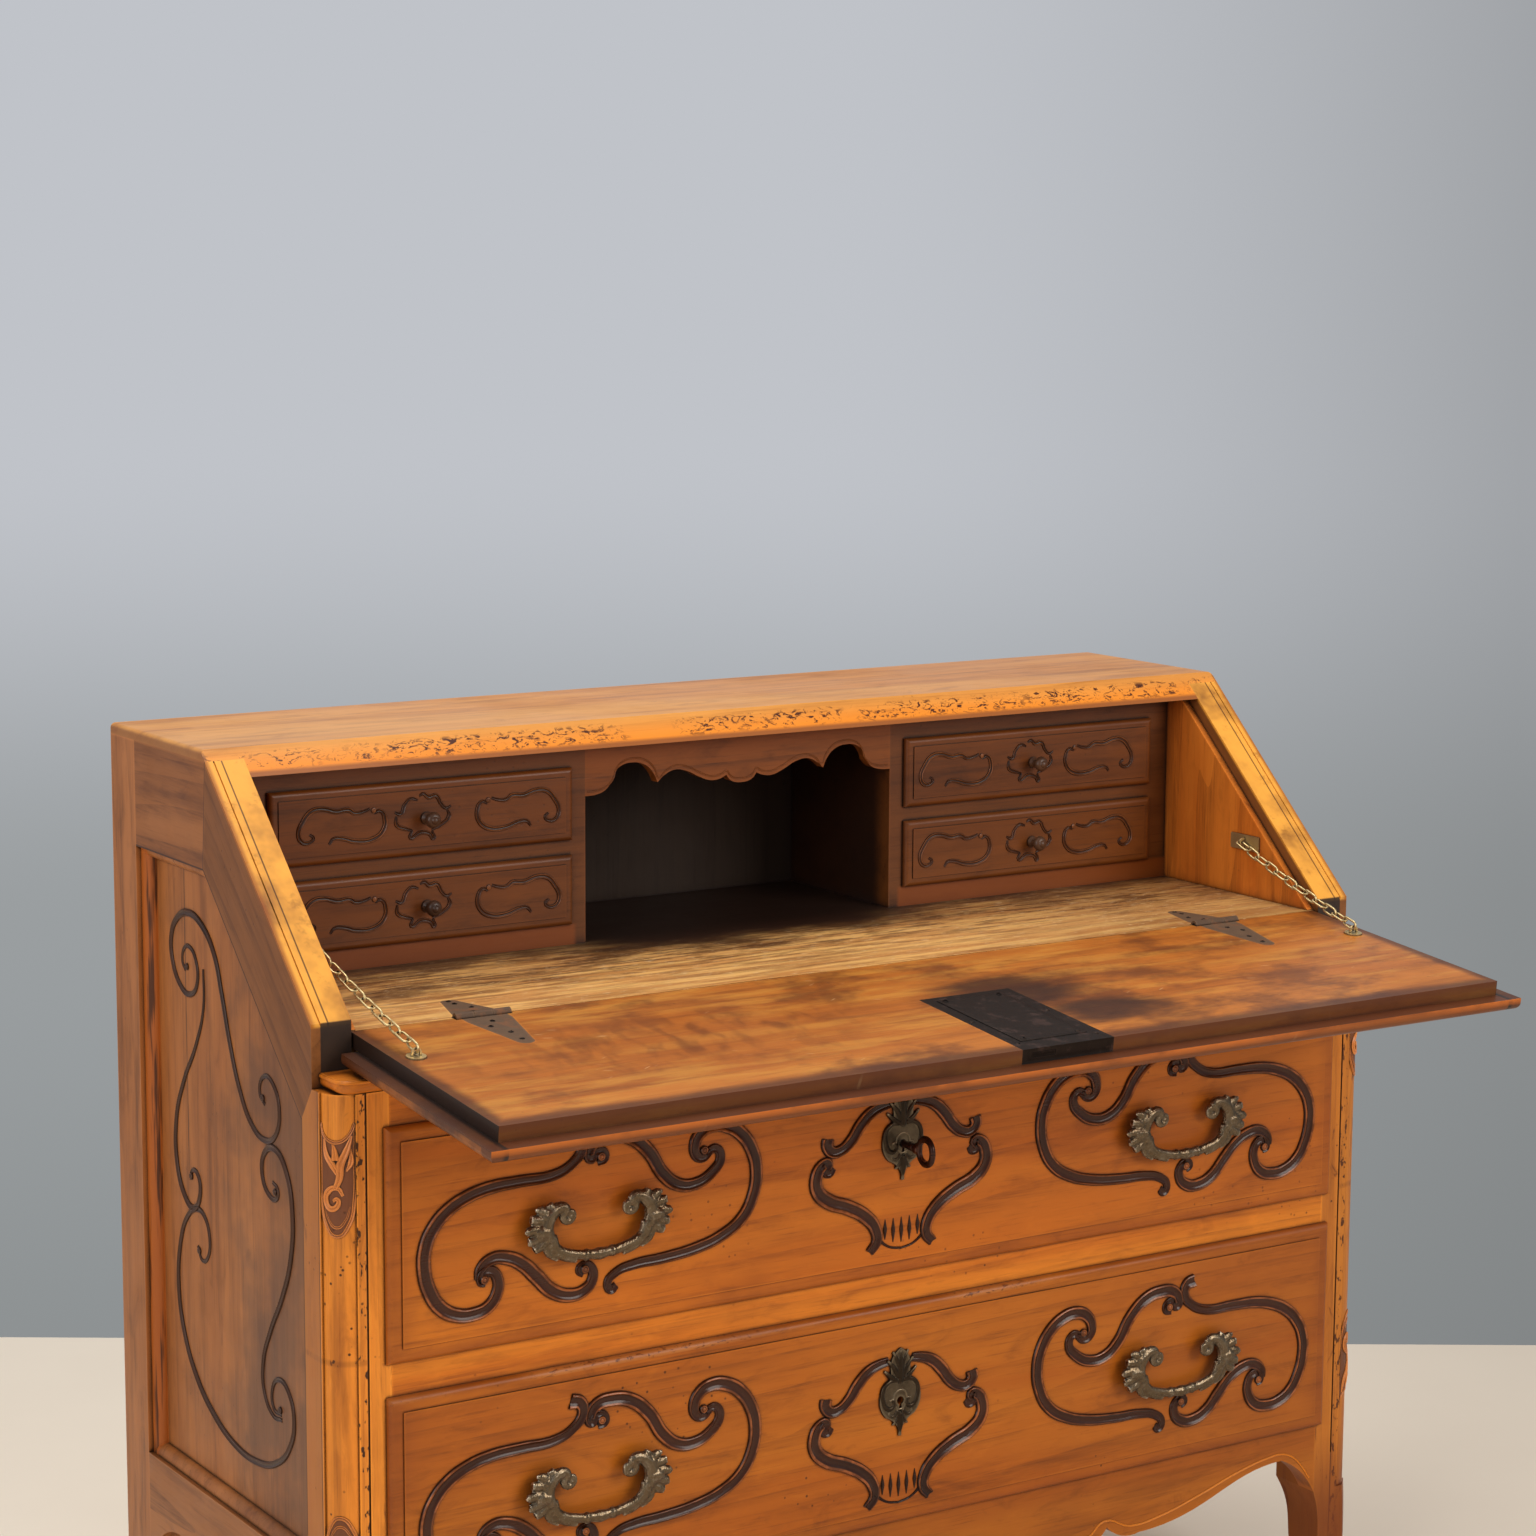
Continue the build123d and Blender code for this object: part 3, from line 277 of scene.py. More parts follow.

# %% [markdown]
# ## Old polished walnut
# Every board is the same wood, so one recipe makes all the finishes. A board
# shows broad bands of tone, rings that run out into long arches where the saw
# crossed them, thin dark streaks and finer pores, all drawn out along the
# grain. Age adds worm holes in clusters, dirt where a duster can't reach, and
# a wavering polish. Each of these is a pattern on the piece's own
# coordinates, stretched along its grain. The darkening in corners comes from
# the occlusion node, which asks how closed-in a point is: it is dirt and
# painted shade at once. The same node, at a short reach, paints joints and
# narrow creases as near-black lines, partly dark joints and partly painted
# shade.

# %% Walnut
ALONG = {"x": (1, 13, 13), "y": (13, 1, 13), "z": (13, 13, 1)}
FINE = {"x": (3, 90, 90), "y": (90, 3, 90), "z": (90, 90, 3)}
MILD = {"x": (1, 3, 3), "y": (3, 1, 3), "z": (3, 3, 1)}
MOTTLE = 0.35


def walnut(name, grain, colours, tilt=(0, 0, 0), rings=0.5, streaks=0.6, worm=0.25, grime_and_shade=0.5,
           reach=0.02, polish=0.34, relief=0.35, wear=0.5, marks=None):
    """A walnut finish in a dark, a middle and a light tone, its grain along x, y or z after the tilt."""
    material, graph = new_finish(name)
    dark, middle, light = [tone(*colour) for colour in colours]
    pale = tuple(min(1, 1.3 * v) for v in light)
    # Near black, for worm holes and for the dark joints and painted shade in creases.
    soot_and_shade = tuple(0.14 * v for v in dark)
    spot = graph.place(tilt=tilt) if any(tilt) else graph.spot()
    long = graph.place(ALONG[grain], of=spot)

    broad = graph.noise(long, 0.9, 3.0, 0.55, 0.6)
    streak = graph.noise(long, 4.0, 5.0, 0.62, 0.35).rise(0.46, 0.7)
    fine = graph.noise(graph.place(FINE[grain], of=spot), 4.5, 4.0, 0.7)
    drift = graph.noise(long, 0.55, 2.0)
    offset = graph.place(shift=(0.13, 0.21, -0.17), tilt=(0.03, 0.05, 0.04), of=spot)
    ring = graph.node("TexWave",
                      {"wave_type": "RINGS", "rings_direction": grain.upper(), "wave_profile": "SAW"},
                      {"Vector": offset, "Scale": 12.0, "Phase Offset": drift * 42.0}, out=1)
    board = graph.mix(broad.rise(0.3, 0.7), middle, light)
    board = graph.mix(ring.rise(0.55, 1.0) * fine.rise(0.2, 0.7) * rings, board, dark)
    board = graph.mix(streak * streaks * broad.rise(0.75, 0.3), board, dark)
    board = graph.mix(fine.rise(0.52, 0.8) * 0.5, board, dark)
    patch = graph.noise(spot, 4.0, 4.0, 0.6)
    board = graph.mix(patch.rise(0.5, 0.8) * 0.3, board, dark)
    figure = graph.noise(graph.place(MILD[grain], of=spot), 13.0, 5.0, 0.65, 0.8)
    board = graph.mix(figure.rise(0.52, 0.74) * MOTTLE, board, dark)
    board = graph.mix(figure.rise(0.48, 0.28) * MOTTLE * 0.6, board, pale)

    cells = graph.node("TexVoronoi", {}, {"Vector": spot, "Scale": 95.0})
    hole = cells.rise(0.16, 0.09) * graph.noise(spot, 7.0, 2.0).rise(0.56, 0.64) * worm
    board = graph.mix(hole, board, soot_and_shade)
    # Dirt and painted shade at once: closed-in corners and recesses darken by the occlusion node.
    dirt_and_shade = (graph.shut(reach) * 1.5 + patch * 0.5 - 0.42).rise(0.1, 0.95) * grime_and_shade
    board = graph.mix(dirt_and_shade, board, tuple(0.3 * v for v in dark))
    arris = graph.shut(0.003, inside=True)
    board = graph.mix(arris.rise(0.1, 0.42) * patch.rise(0.3, 0.6) * wear, board, pale)
    # Dark joints and painted shade at once: short-reach occlusion turns joints and narrow creases near black.
    joint_and_crease_shade = (graph.shut(0.0045) + patch * 0.3 - 0.12).rise(0.2, 0.46) * 0.9
    board = graph.mix(joint_and_crease_shade, board, soot_and_shade)
    if marks:
        for mask, colour in marks(graph, spot, *graph.axes(graph.spot())):
            board = graph.mix(mask, board, tone(*colour))

    rough = polish + fine * 0.12 + patch.rise(0.4, 0.8) * 0.16 + dirt_and_shade * 0.25
    wave = graph.noise(graph.place(tuple(0.4 * s for s in ALONG[grain]), of=spot), 14.0, 2.0)
    rise = wave * 0.6 - fine.rise(0.5, 0.85) * 0.25 - hole * 1.5
    bump = graph.node("Bump", {}, {"Strength": relief, "Distance": 0.0006, "Height": rise})
    shader = graph.node("BsdfPrincipled", {}, {
        "Base Color": board, "Roughness": rough, "Normal": bump,
        "Coat Weight": 0.04, "Coat Roughness": 0.14, "Specular IOR Level": 0.24})
    graph.node("OutputMaterial", {}, {"Surface": shader})
    print("finish", name, "has", len(material.node_tree.nodes), "nodes")
    return material


def dress(material, *names):
    """Gives the measured boards a finish in place of the plain one."""
    for name in names:
        nodes[name].data.materials.clear()
        nodes[name].data.materials.append(material)


# %% [markdown]
# ## The front
# The drawer fronts and rails are the best wood, honey to orange, cut so that
# the grain runs the length of the board. The lips of the drawers are darker
# where fingers and dust collected, and with painted shade, most under the
# fall; their right-hand parts, the right post and the feet of the posts are
# painted darker as shade as well. The corner posts are the same wood stood
# on end. What age did to one board only, and the shade painted on it, is
# written as its marks: each mark is a mask, from x across, y back and z up,
# and the colour that it brings.

# %% Front boards
def worn_and_shaded_edges(low, high):
    """Darkens a drawer front towards its ends and edges from low to high, as grime and painted shade, paints its
    right side darker as shade, and eats its upper lip.
    """
    # worn is the colour of the grime and of the painted shade, towards the edges and on the right side.
    half, band, worn = 0.552, 0.02, (118, 56, 16)

    def marks(graph, spot, across, back, height):
        ends = abs(across).rise(half - band * 2.2, half)
        sills = height.rise(low + band, low).most(height.rise(high - band * 0.6, high))
        cloud = graph.noise(spot, 9.0, 4.0, 0.6)
        galleries = graph.noise(graph.place((1, 1, 2.5), of=spot), 90.0, 3.0, 0.7, 1.2).rise(0.55, 0.62)
        lip = height.rise(high - 0.0075, high - 0.005) * graph.noise(spot, 6.0, 2.0).rise(0.42, 0.56)
        return [(lip * 0.5, (196, 128, 66)),
                (galleries * lip * 0.85, (64, 28, 10)),
                # Painted shade: the right side of the front darker.
                (across.rise(0.1, 0.55) * 0.3, worn),
                # Grime and painted shade towards the ends and edges, the top edge under the fall too.
                ((ends.most(sills) * 0.6 + cloud - 0.55).rise(0.0, 0.9) * 0.8, worn)]
    return marks


def post_marks(graph, spot, across, back, height):
    """A dark bead and worm spots down each post, a ring on its column, and the right post and the feet painted
    darker as shade.
    """
    out = abs(across)
    front = back.rise(-0.1160, -0.1172)
    strip = out.rise(0.5662, 0.5668) * out.rise(0.5770, 0.5762) * front
    dots = graph.noise(graph.place((1, 1, 0.5), of=spot), 210.0, 2.0, 0.6).rise(0.57, 0.63)
    ring = abs(height - 0.470).rise(0.0040, 0.0010) * out.rise(0.566, 0.568)
    scar = graph.noise(graph.place((1, 1, 0.3), of=spot), 34.0, 4.0, 0.7, 1.2).rise(0.6, 0.68)
    flank = out.rise(0.5978, 0.5992) * back.rise(-0.094, -0.090)
    seam = back.rise(-0.0592, -0.0582) * height.rise(0.29, 0.30)
    return [(dots * strip * 0.95, (44, 20, 9)),
            (abs(out - 0.5668).rise(0.0011, 0.0005) * front * 0.9, (50, 22, 9)),
            (ring * dots.most(0.35) * 0.8, (70, 30, 10)),
            (scar * 0.75, (86, 36, 12)),
            (flank * 0.7, (142, 86, 42)),
            (abs(back + 0.0905).rise(0.0011, 0.0005) * flank * 0.8, (50, 24, 10)),
            # Painted shade: the right post darker.
            (across.rise(0.0, 0.5) * 0.42, (96, 46, 14)),
            (seam * 0.8, (44, 22, 10)),
            # Painted shade: the feet darker, low on the posts.
            (height.rise(0.22, 0.10) * 0.8, (104, 46, 13))]


upper_front = walnut("walnut_upper_drawer", "x", ((86, 36, 5), (174, 88, 12), (190, 106, 22)),
                     rings=0.35, streaks=0.4, worm=0.5, marks=worn_and_shaded_edges(0.464, 0.6815))
lower_front = walnut("walnut_lower_drawer", "x", ((76, 32, 4), (158, 80, 12), (174, 97, 20)),
                     rings=0.35, streaks=0.4, worm=0.7, marks=worn_and_shaded_edges(0.212, 0.4342))
rail_wood = walnut("walnut_rails", "x", ((96, 42, 7), (190, 100, 18), (208, 122, 30)), rings=0.3, worm=0.7)
apron_wood = walnut("walnut_apron", "x", ((74, 31, 4), (146, 74, 12), (162, 90, 20)), rings=0.3, worm=0.5)
post_wood = walnut("walnut_posts", "z", ((106, 48, 12), (208, 116, 30), (224, 140, 46)),
                   rings=0.3, worm=0.9, grime_and_shade=0.6, marks=post_marks)
dress(upper_front, "upper_drawer_front")
dress(lower_front, "lower_drawer_front")
dress(rail_wood, "front_top_rail", "middle_rail", "post_caps")
dress(apron_wood, "apron")
dress(post_wood, "front_post_left", "front_post_right")

# %% [markdown]
# ## The sides and the top
# The sides get less light and fewer hands, and have gone browner and
# greyer. The slanted stiles follow the fall's slope, so their grain is turned
# to that slope. The top is the palest board: sun has bleached it, while its
# front edge is a bright yellow-orange, eaten by worm along the arris.

# %% Side and top boards
slope = math.radians(42.8)
black_line = (36, 18, 10)


def panel_marks(graph, spot, across, back, height):
    """A panel: its moulded edge worn orange and black, a painted shade in clouds towards the front, one split."""
    edge = back.rise(0.2955, 0.2985)
    streak = graph.noise(graph.place((1, 1, 0.05), of=spot), 120.0, 3.0, 0.65)
    cloud = graph.noise(spot, 7.0, 4.0, 0.6)
    # Painted shade: dark grey clouds towards the front of the panel.
    low = (back.rise(0.22, 0.02) * 0.3 + cloud).rise(0.55, 0.85) * (1 - edge)
    bend = graph.noise(graph.place((1, 1, 4), of=spot), 2.0, 2.0)
    split = abs(back + bend * 0.006 - 0.236).rise(0.0011, 0.0004) * height.rise(0.55, 0.60)
    return [(edge * 0.85, (166, 86, 28)),
            (edge * streak.rise(0.5, 0.62) * 0.85, (44, 22, 11)),
            (low * 0.6, (64, 46, 38)),
            (split * 0.85, black_line)]


def stile_marks(graph, spot, across, back, height):
    """The stile's sloping face, worn golden, the painted shade on its rounded outer bead, and its blackened lower
    end.
    """
    inward = (back + 0.07969) * math.sin(slope) - (height - 0.772) * math.cos(slope)
    cloud = graph.noise(spot, 12.0, 4.0, 0.6)
    face = inward.rise(0.0035, 0.0008)
    quirk = abs(abs(across) - 0.5835).rise(0.0011, 0.0004) * face
    soil = graph.noise(spot, 26.0, 4.0, 0.7).rise(0.56, 0.7)
    # Painted shade: the outer bead darker where it rounds away.
    rounded_bead_shade = abs(across).rise(0.5945, 0.5995) * inward.rise(0.004, 0.0015)
    end = back.rise(-0.0785, -0.0793) * abs(across).rise(0.5915, 0.5905) * height.rise(0.7735, 0.7715)
    return [(face * cloud.rise(0.25, 0.6) * 0.85, (240, 166, 62)),
            (quirk * 0.85, (64, 30, 10)),
            (soil * 0.5, (110, 62, 22)),
            (rounded_bead_shade * (0.4 + cloud * 0.6), (136, 66, 20)),
            (inward.rise(0.0794, 0.0804) * 0.85, black_line),
            (end * 0.93, (38, 30, 25))]


def rail_joints(graph, spot, across, back, height):
    """The dark lines where a top rail meets the slanted stile and the panel."""
    butt = (back + (height - 0.874) * 0.0825 - 0.150).rise(0.0019, 0.0008) * height.rise(0.86, 0.87)
    sill = abs(height - 0.8747).rise(0.0014, 0.0006)
    return [(butt.most(sill) * 0.8, black_line)]


def top_marks(graph, spot, across, back, height):
    """The golden front edge, the worm's galleries along its arris, a painted shade under its nosing, and browner
    ends.
    """
    front = back.rise(0.156, 0.128)
    run = graph.noise(graph.place((1, 1, 2.4), of=spot), 78.0, 4.0, 0.72, 1.4)
    patch = graph.noise(graph.place((1, 0.2, 0.2), of=spot), 16.0, 2.0)
    band = height.rise(0.9845, 0.979) * height.rise(0.964, 0.971) * back.rise(0.150, 0.146)
    flank = abs(across).rise(0.597, 0.599) * height.rise(0.986, 0.983)
    return [(front * 0.92, (224, 128, 26)),
            (run.rise(0.525, 0.585) * patch.rise(0.34, 0.48) * band, (70, 30, 14)),
            # Painted shade: a dark band under the front nosing.
            (height.rise(0.9685, 0.9645) * front * 0.8, (112, 62, 34)),
            (flank * 0.75, (132, 78, 38))]


side_long = walnut("walnut_side_panel", "z", ((76, 38, 14), (150, 88, 40), (172, 106, 52)),
                   rings=0.3, grime_and_shade=0.6, marks=panel_marks)
rear_wood = walnut("walnut_rear_posts", "z", ((74, 38, 16), (158, 96, 48), (178, 112, 60)), rings=0.3, grime_and_shade=0.6)
side_cross = walnut("walnut_side_rail", "y", ((74, 36, 14), (138, 82, 38), (156, 96, 48)), grime_and_shade=0.6,
                    marks=rail_joints)
side_slant = walnut("walnut_slanted_stile", "y", ((66, 34, 12), (116, 68, 30), (132, 80, 38)),
                    tilt=(-slope, 0, 0), worm=0.5, marks=stile_marks)
top_wood = walnut("walnut_top", "x", ((118, 66, 24), (188, 120, 50), (208, 144, 68)),
                  rings=0.3, worm=0.3, grime_and_shade=0.3, polish=0.3, marks=top_marks)
dress(side_long, "side_panel_left", "side_panel_right")
dress(rear_wood, "rear_post_left", "rear_post_right")
dress(side_cross, "side_top_rails", "side_bottom_rail_left", "side_bottom_rail_right")
dress(side_slant, "slanted_stile_left", "slanted_stile_right")
dress(top_wood, "top_board")

# %% [markdown]
# ## The writing surface and the fall
# The bed and the open fall carried ink, lamps and elbows for two hundred
# years. Their polish has worn through in pale straw-coloured streaks, and
# round the lock and at the back it is nearly black. The stain is a soft blob
# measured from the lock plate's place, broken up by a cloud, because a stain
# never has a clean outline.

# %% Fall and bed
def blot(graph, spot, centre, size):
    """A soft round patch about a centre, with a ragged outline."""
    away = graph.node("VectorMath", {"operation": "SUBTRACT"}, {0: spot, 1: centre})
    away = graph.node("VectorMath", {"operation": "DIVIDE"}, {0: away, 1: size})
    far = graph.node("VectorMath", {"operation": "LENGTH"}, {0: away}, out=1)
    cloud = graph.noise(graph.place((1, 3, 3), of=spot), 9.0, 4.0, 0.65)
    return (far + cloud * 0.9 - 0.45).rise(1.0, 0.35)


def scratches(graph, spot, colour):
    """Short pale scratches that run every way but mostly along the board."""
    made = []
    for heading in (0.3, -0.5):
        narrow = graph.place((16, 150, 1), tilt=(0, 0, heading), of=spot)
        cells = graph.node("TexVoronoi", {}, {"Vector": narrow, "Scale": 1.0})
        where = graph.noise(spot, 14.0, 3.0).rise(0.5, 0.62)
        made.append((cells.rise(0.10, 0.05) * where * 0.6, colour))
    return made


fall_tilt = math.radians(5.4)
hinge_y, hinge_z = -0.07263, 0.760


def fall_marks(graph, spot, across, back, height):
    """The fall's inner face: straw-coloured rubs, dark clouds, a rippled figure and the lock's stain."""
    out = abs(across)
    below = (back - hinge_y) * math.tan(fall_tilt) + hinge_z - height
    inner, shown = below.rise(0.0165, 0.0150), below.rise(0.0256, 0.0248)
    rubbed = graph.noise(graph.place((0.8, 5, 5), of=spot), 8.0, 5.0, 0.65).rise(0.44, 0.66)
    cloud = graph.noise(graph.place((1, 1.6, 1.6), of=spot), 5.5, 5.0, 0.68)
    ripple = graph.noise(graph.place((1.5, 0.8, 1), tilt=(0, 0, 0.2), of=spot), 26.0, 2.5, 0.55, 0.3)
    flame = blot(graph, spot, (-0.30, -0.20, 0.745), (0.27, 0.10, 0.2)) * inner
    rim = back.rise(-0.322, -0.350).most(out.rise(0.535, 0.560)) * inner
    near = blot(graph, spot, (0.075, -0.20, 0.74), (0.115, 0.075, 0.2))
    tail = blot(graph, spot, (0.13, -0.275, 0.74), (0.10, 0.05, 0.2))
    front, nosing = back.rise(-0.3486, -0.3494) * shown, back.rise(-0.3662, -0.3672) * shown
    ends, rebate = out.rise(0.5592, 0.5598) * shown, out.rise(0.5578, 0.5583) * out.rise(0.5650, 0.5600) * shown
    return [(rubbed * 0.6 * inner, (200, 136, 54)),
            (cloud.rise(0.49, 0.66) * 0.7 * inner, (92, 46, 18)),
            (flame * 0.45, (164, 88, 22)),
            (ripple.rise(0.42, 0.68) * flame * 0.6, (94, 44, 10)),
            *scratches(graph, spot, (216, 172, 118)),
            ((rim + cloud - 0.45).rise(0.1, 0.9) * 0.82, (70, 34, 14)),
            (near.most(tail) * 0.88 * inner, (46, 24, 15)),
            (front * 0.8, (86, 42, 18)),
            (ends * (0.45 + cloud.rise(0.4, 0.6) * 0.5), (70, 36, 18)),
            (rebate * 0.93, (30, 20, 15)),
            (nosing * (0.9 - cloud.rise(0.45, 0.6) * 0.5), (196, 104, 34))]


def bed_marks(graph, spot, across, back, height):
    """The bed: rubbed straw in front, mottled brown towards the nest, darker to the right as painted shade, and
    near black before and in the compartment as painted shade and grime.
    """
    rubbed = graph.noise(graph.place((0.7, 7, 7), of=spot), 9.0, 5.0, 0.65).rise(0.42, 0.62)
    cloud = graph.noise(graph.place((1, 2, 2), of=spot), 6.0, 5.0, 0.68)
    soil = graph.noise(graph.place((1, 8, 8), of=spot), 15.0, 4.0, 0.7).rise(0.46, 0.6)
    fleck = graph.noise(graph.place((2.5, 16, 1), of=spot), 26.0, 3.0, 0.7).rise(0.6, 0.67)
    # Painted shade and grime: dark before the middle compartment.
    behind = (back.rise(0.04, 0.19) + cloud * 0.6 - 0.3).rise(0.1, 0.8) * (1 - abs(across).rise(0.12, 0.3))
    return [(rubbed * 0.75, (232, 180, 106)),
            ((cloud + back.rise(-0.02, 0.165) * 0.24).rise(0.6, 0.8) * 0.8, (80, 46, 22)),
            (soil * (0.2 + back.rise(-0.06, 0.08) * 0.6), (88, 52, 26)),
            # Painted shade: the right side darker.
            (across.rise(0.05, 0.5) * 0.42, (96, 54, 26)),
            (fleck * 0.6, (228, 196, 150)),
            *scratches(graph, spot, (226, 190, 140)),
            # Painted shade and grime: near black before and inside the compartment.
            (behind, (50, 30, 20)),
            (back.rise(0.13, 0.19) * 0.85, (34, 20, 14))]


fall_wood = walnut("walnut_fall", "x", ((80, 36, 9), (164, 88, 24), (184, 108, 36)),
                   rings=0.25, streaks=0.5, worm=0.3, grime_and_shade=0.35, polish=0.3, marks=fall_marks)
bed_wood = walnut("walnut_bed", "x", ((96, 56, 24), (190, 128, 66), (210, 152, 88)),
                  rings=0.25, streaks=0.8, worm=0.3, reach=0.03, polish=0.36, marks=bed_marks)
dress(fall_wood, "fall_board")
dress(bed_wood, "writing_bed")

# %% [markdown]
# ## Inside the desk
# The nest never saw the sun. Its fronts are a deep red-brown, and its
# middle compartment is painted nearly black, as the shade deep inside it and
# its grime. The hidden parts, the drawer boxes, dust boards and back, are
# plain unpolished wood; the back is painted nearly black as shade and grime
# where it closes the desk space.

# %% Nest and hidden wood
ROWS, HANDS = ("upper", "lower"), ("left", "right")
BARE = dict(colours=((110, 78, 50), (164, 126, 86), (184, 146, 104)), worm=0.6, polish=0.62, relief=0.6)


def nest_marks(graph, spot, across, back, height):
    """The compartment's walls, painted dark as shade and grime inside the nest's front edge."""
    # Painted shade and grime: the walls near black inside the compartment.
    inside = back.rise(0.172, 0.20) * (1 - abs(across).rise(0.184, 0.196))
    base = height.rise(0.783, 0.779) * abs(across).rise(0.192, 0.198)
    return [(base * 0.5, (140, 68, 20)), (inside * 0.9, (28, 14, 8))]


def back_marks(graph, spot, across, back, height):
    """The back boards: painted nearly black as shade and grime where they close the desk space, bare outside."""
    # Painted shade and grime: near black inside the desk space.
    return [(back.rise(0.362, 0.359) * height.rise(0.75, 0.76) * 0.97, (26, 12, 6))]


nest_wood = walnut("walnut_nest", "x", ((48, 22, 7), (112, 58, 18), (130, 70, 24)), grime_and_shade=0.8, wear=0.3)
little_front = walnut("walnut_small_drawers", "x", ((44, 20, 6), (94, 48, 14), (112, 60, 20)),
                      rings=0.15, grime_and_shade=0.9, reach=0.012, wear=0.35)
cheek_wood = walnut("walnut_cheeks", "z", ((104, 48, 14), (184, 94, 28), (206, 118, 40)), grime_and_shade=0.6)
frame_wood = walnut("walnut_nest_frame", "x", ((42, 20, 8), (90, 48, 18), (108, 60, 24)),
                    rings=0.15, grime_and_shade=0.95, wear=0.35, marks=nest_marks)
dress(frame_wood, "nest_frame_left", "nest_frame_right")
dress(nest_wood, "nest_valance")
dress(cheek_wood, "inner_cheeks")
dress(little_front, *[f"{row}_small_drawer_{hand}" for row in ROWS for hand in HANDS])
dress(walnut("bare_walnut", "x", **BARE), "upper_dust_board", "lower_dust_board", "drawer_guides",
      "upper_drawer_box", "lower_drawer_box")
dress(walnut("walnut_back_boards", "z", **BARE, marks=back_marks), "back_panel")

# %% [markdown]
# ## Bronze, brass and iron
# The handles and keyhole plates were cast and chased, and two centuries of
# polishing left their high places bright and their hollows a greenish black.
# The occlusion node finds the hollows again, and its inside test finds the
# high places, which are painted lighter as rubbed metal and as a highlight at
# once. The chains are thin brass wire, duller and paler. The lock, its plate
# and the hinges are hand-forged iron with a brown-black skin and a little rust.

# %% Metals
def metal(name, *colours, rust=None, rough=0.36, reach=0.004, gleam=0.92):
    """An old metal: the tones of its hollows, of its skin, and of its high places, rubbed bright and painted
    lighter as a highlight.
    """
    material, graph = new_finish(name)
    hollow, skin, bright = [tone(*colour) for colour in colours]
    spot = graph.spot()
    cloud = graph.noise(spot, 90.0, 4.0, 0.6)
    # Rubbed metal and painted highlight: the high places, found by the inside test, take the bright tone.
    proud = graph.shut(0.0025, inside=True)
    colour = graph.mix((proud * 1.4 + cloud * 0.8 - 0.58).rise(0.0, 0.75), skin, bright)
    deep = (graph.shut(reach) * 2.0 + cloud * 0.5 - 0.45).rise(0.1, 0.7)
    colour = graph.mix(deep, colour, hollow)
    shine = 1 - deep * 0.55
    if rust:
        spots = graph.noise(spot, 55.0, 5.0, 0.7).rise(0.52, 0.66)
        colour = graph.mix(spots * 0.8, colour, tone(*rust))
        shine = shine - spots * 0.5
    pits = graph.noise(spot, 300.0, 4.0, 0.65)
    shader = graph.node("BsdfPrincipled", {}, {
        "Base Color": colour, "Metallic": shine * gleam, "Roughness": rough + deep * 0.3 + cloud * 0.12,
        "Normal": graph.node("Bump", {}, {"Strength": 0.35, "Distance": 0.0004, "Height": pits})})
    graph.node("OutputMaterial", {}, {"Surface": shader})
    print("finish", name, "has", len(material.node_tree.nodes), "nodes")
    return material


bronze = metal("old_bronze", (15, 10, 6), (98, 82, 62), (236, 224, 200), rough=0.22)
dark_bronze = metal("dark_bronze", (12, 9, 7), (48, 38, 28), (112, 98, 78), rough=0.3)
brass = metal("dull_brass", (70, 52, 28), (166, 140, 92), (206, 184, 134), reach=0.003)
iron = metal("forged_iron", (12, 9, 8), (30, 22, 18), (46, 36, 30), rust=(58, 32, 20), rough=0.46)
key_iron = metal("key_iron", (14, 8, 6), (50, 27, 19), (96, 62, 48), rough=0.28, gleam=0.7)
worn_iron = metal("worn_hinge_iron", (40, 26, 16), (80, 56, 36), (104, 76, 50), rust=(112, 66, 30),
                  rough=0.6, gleam=0.2)
knob_wood = walnut("walnut_knobs", "y", ((26, 16, 12), (62, 40, 28), (84, 56, 38)),
                   rings=0.3, worm=0.0, grime_and_shade=0.7, reach=0.006, polish=0.26)
dress(dark_bronze, *[f"{row}_drawer_escutcheon" for row in ROWS])
dress(bronze, *[f"{row}_drawer_{part}" for row in ROWS for part in ("handle_posts", "bail_left", "bail_right")])
dress(brass, "stay_chains", "chain_wall_plates", "chain_fall_plates", "fall_escutcheon")
dress(worn_iron, "bed_hinge_leaves", "fall_hinge_leaves")
dress(key_iron, "key")
dress(iron, "hinge_pins", "fall_lock_case", "fall_lock_bolt",
      *[f"{row}_drawer_lock_{part}" for row in ROWS for part in ("case", "bolt")])
dress(knob_wood, *[f"{row}_knob_{hand}" for row in ROWS for hand in HANDS])

# %% [markdown]
# ## Carved scrolls
# The drawer fronts and side panels carry scrollwork: bands a finger-nail
# wide, hollowed by a gouge between two thin rims, that swell along the curve
# and coil up at their ends. Each band could be sculpted, but it is a section
# run along a line, so it is made as one: a flat curve through the points
# where the carver's line turns, with the gouge's section as its bevel. The
# curve becomes a mesh, and only then is it laid on the board.

# %% Bands along a line
def pick_none():
    """Deselects everything, so that an operator works on the next piece only."""
    if bpy.context.object and bpy.context.object.mode != "OBJECT":
        bpy.ops.object.mode_set(mode="OBJECT")
    bpy.ops.object.select_all(action="DESELECT")


def section(name, width, height, outline):
    """The outline of a cut across a band, from -1 to 1 across and 0 to 1 high."""
    line = bpy.data.curves.new(name, "CURVE")
    line.dimensions = "2D"
    spline = line.splines.new("POLY")
    spline.points.add(len(outline) - 1)
    for knot, (across, proud) in zip(spline.points, outline):
        knot.co = (across * width / 2, proud * height, 0, 1)
    spline.use_cyclic_u = True
    cut = bpy.data.objects.new(name, line)
    scene.collection.objects.link(cut)
    return cut


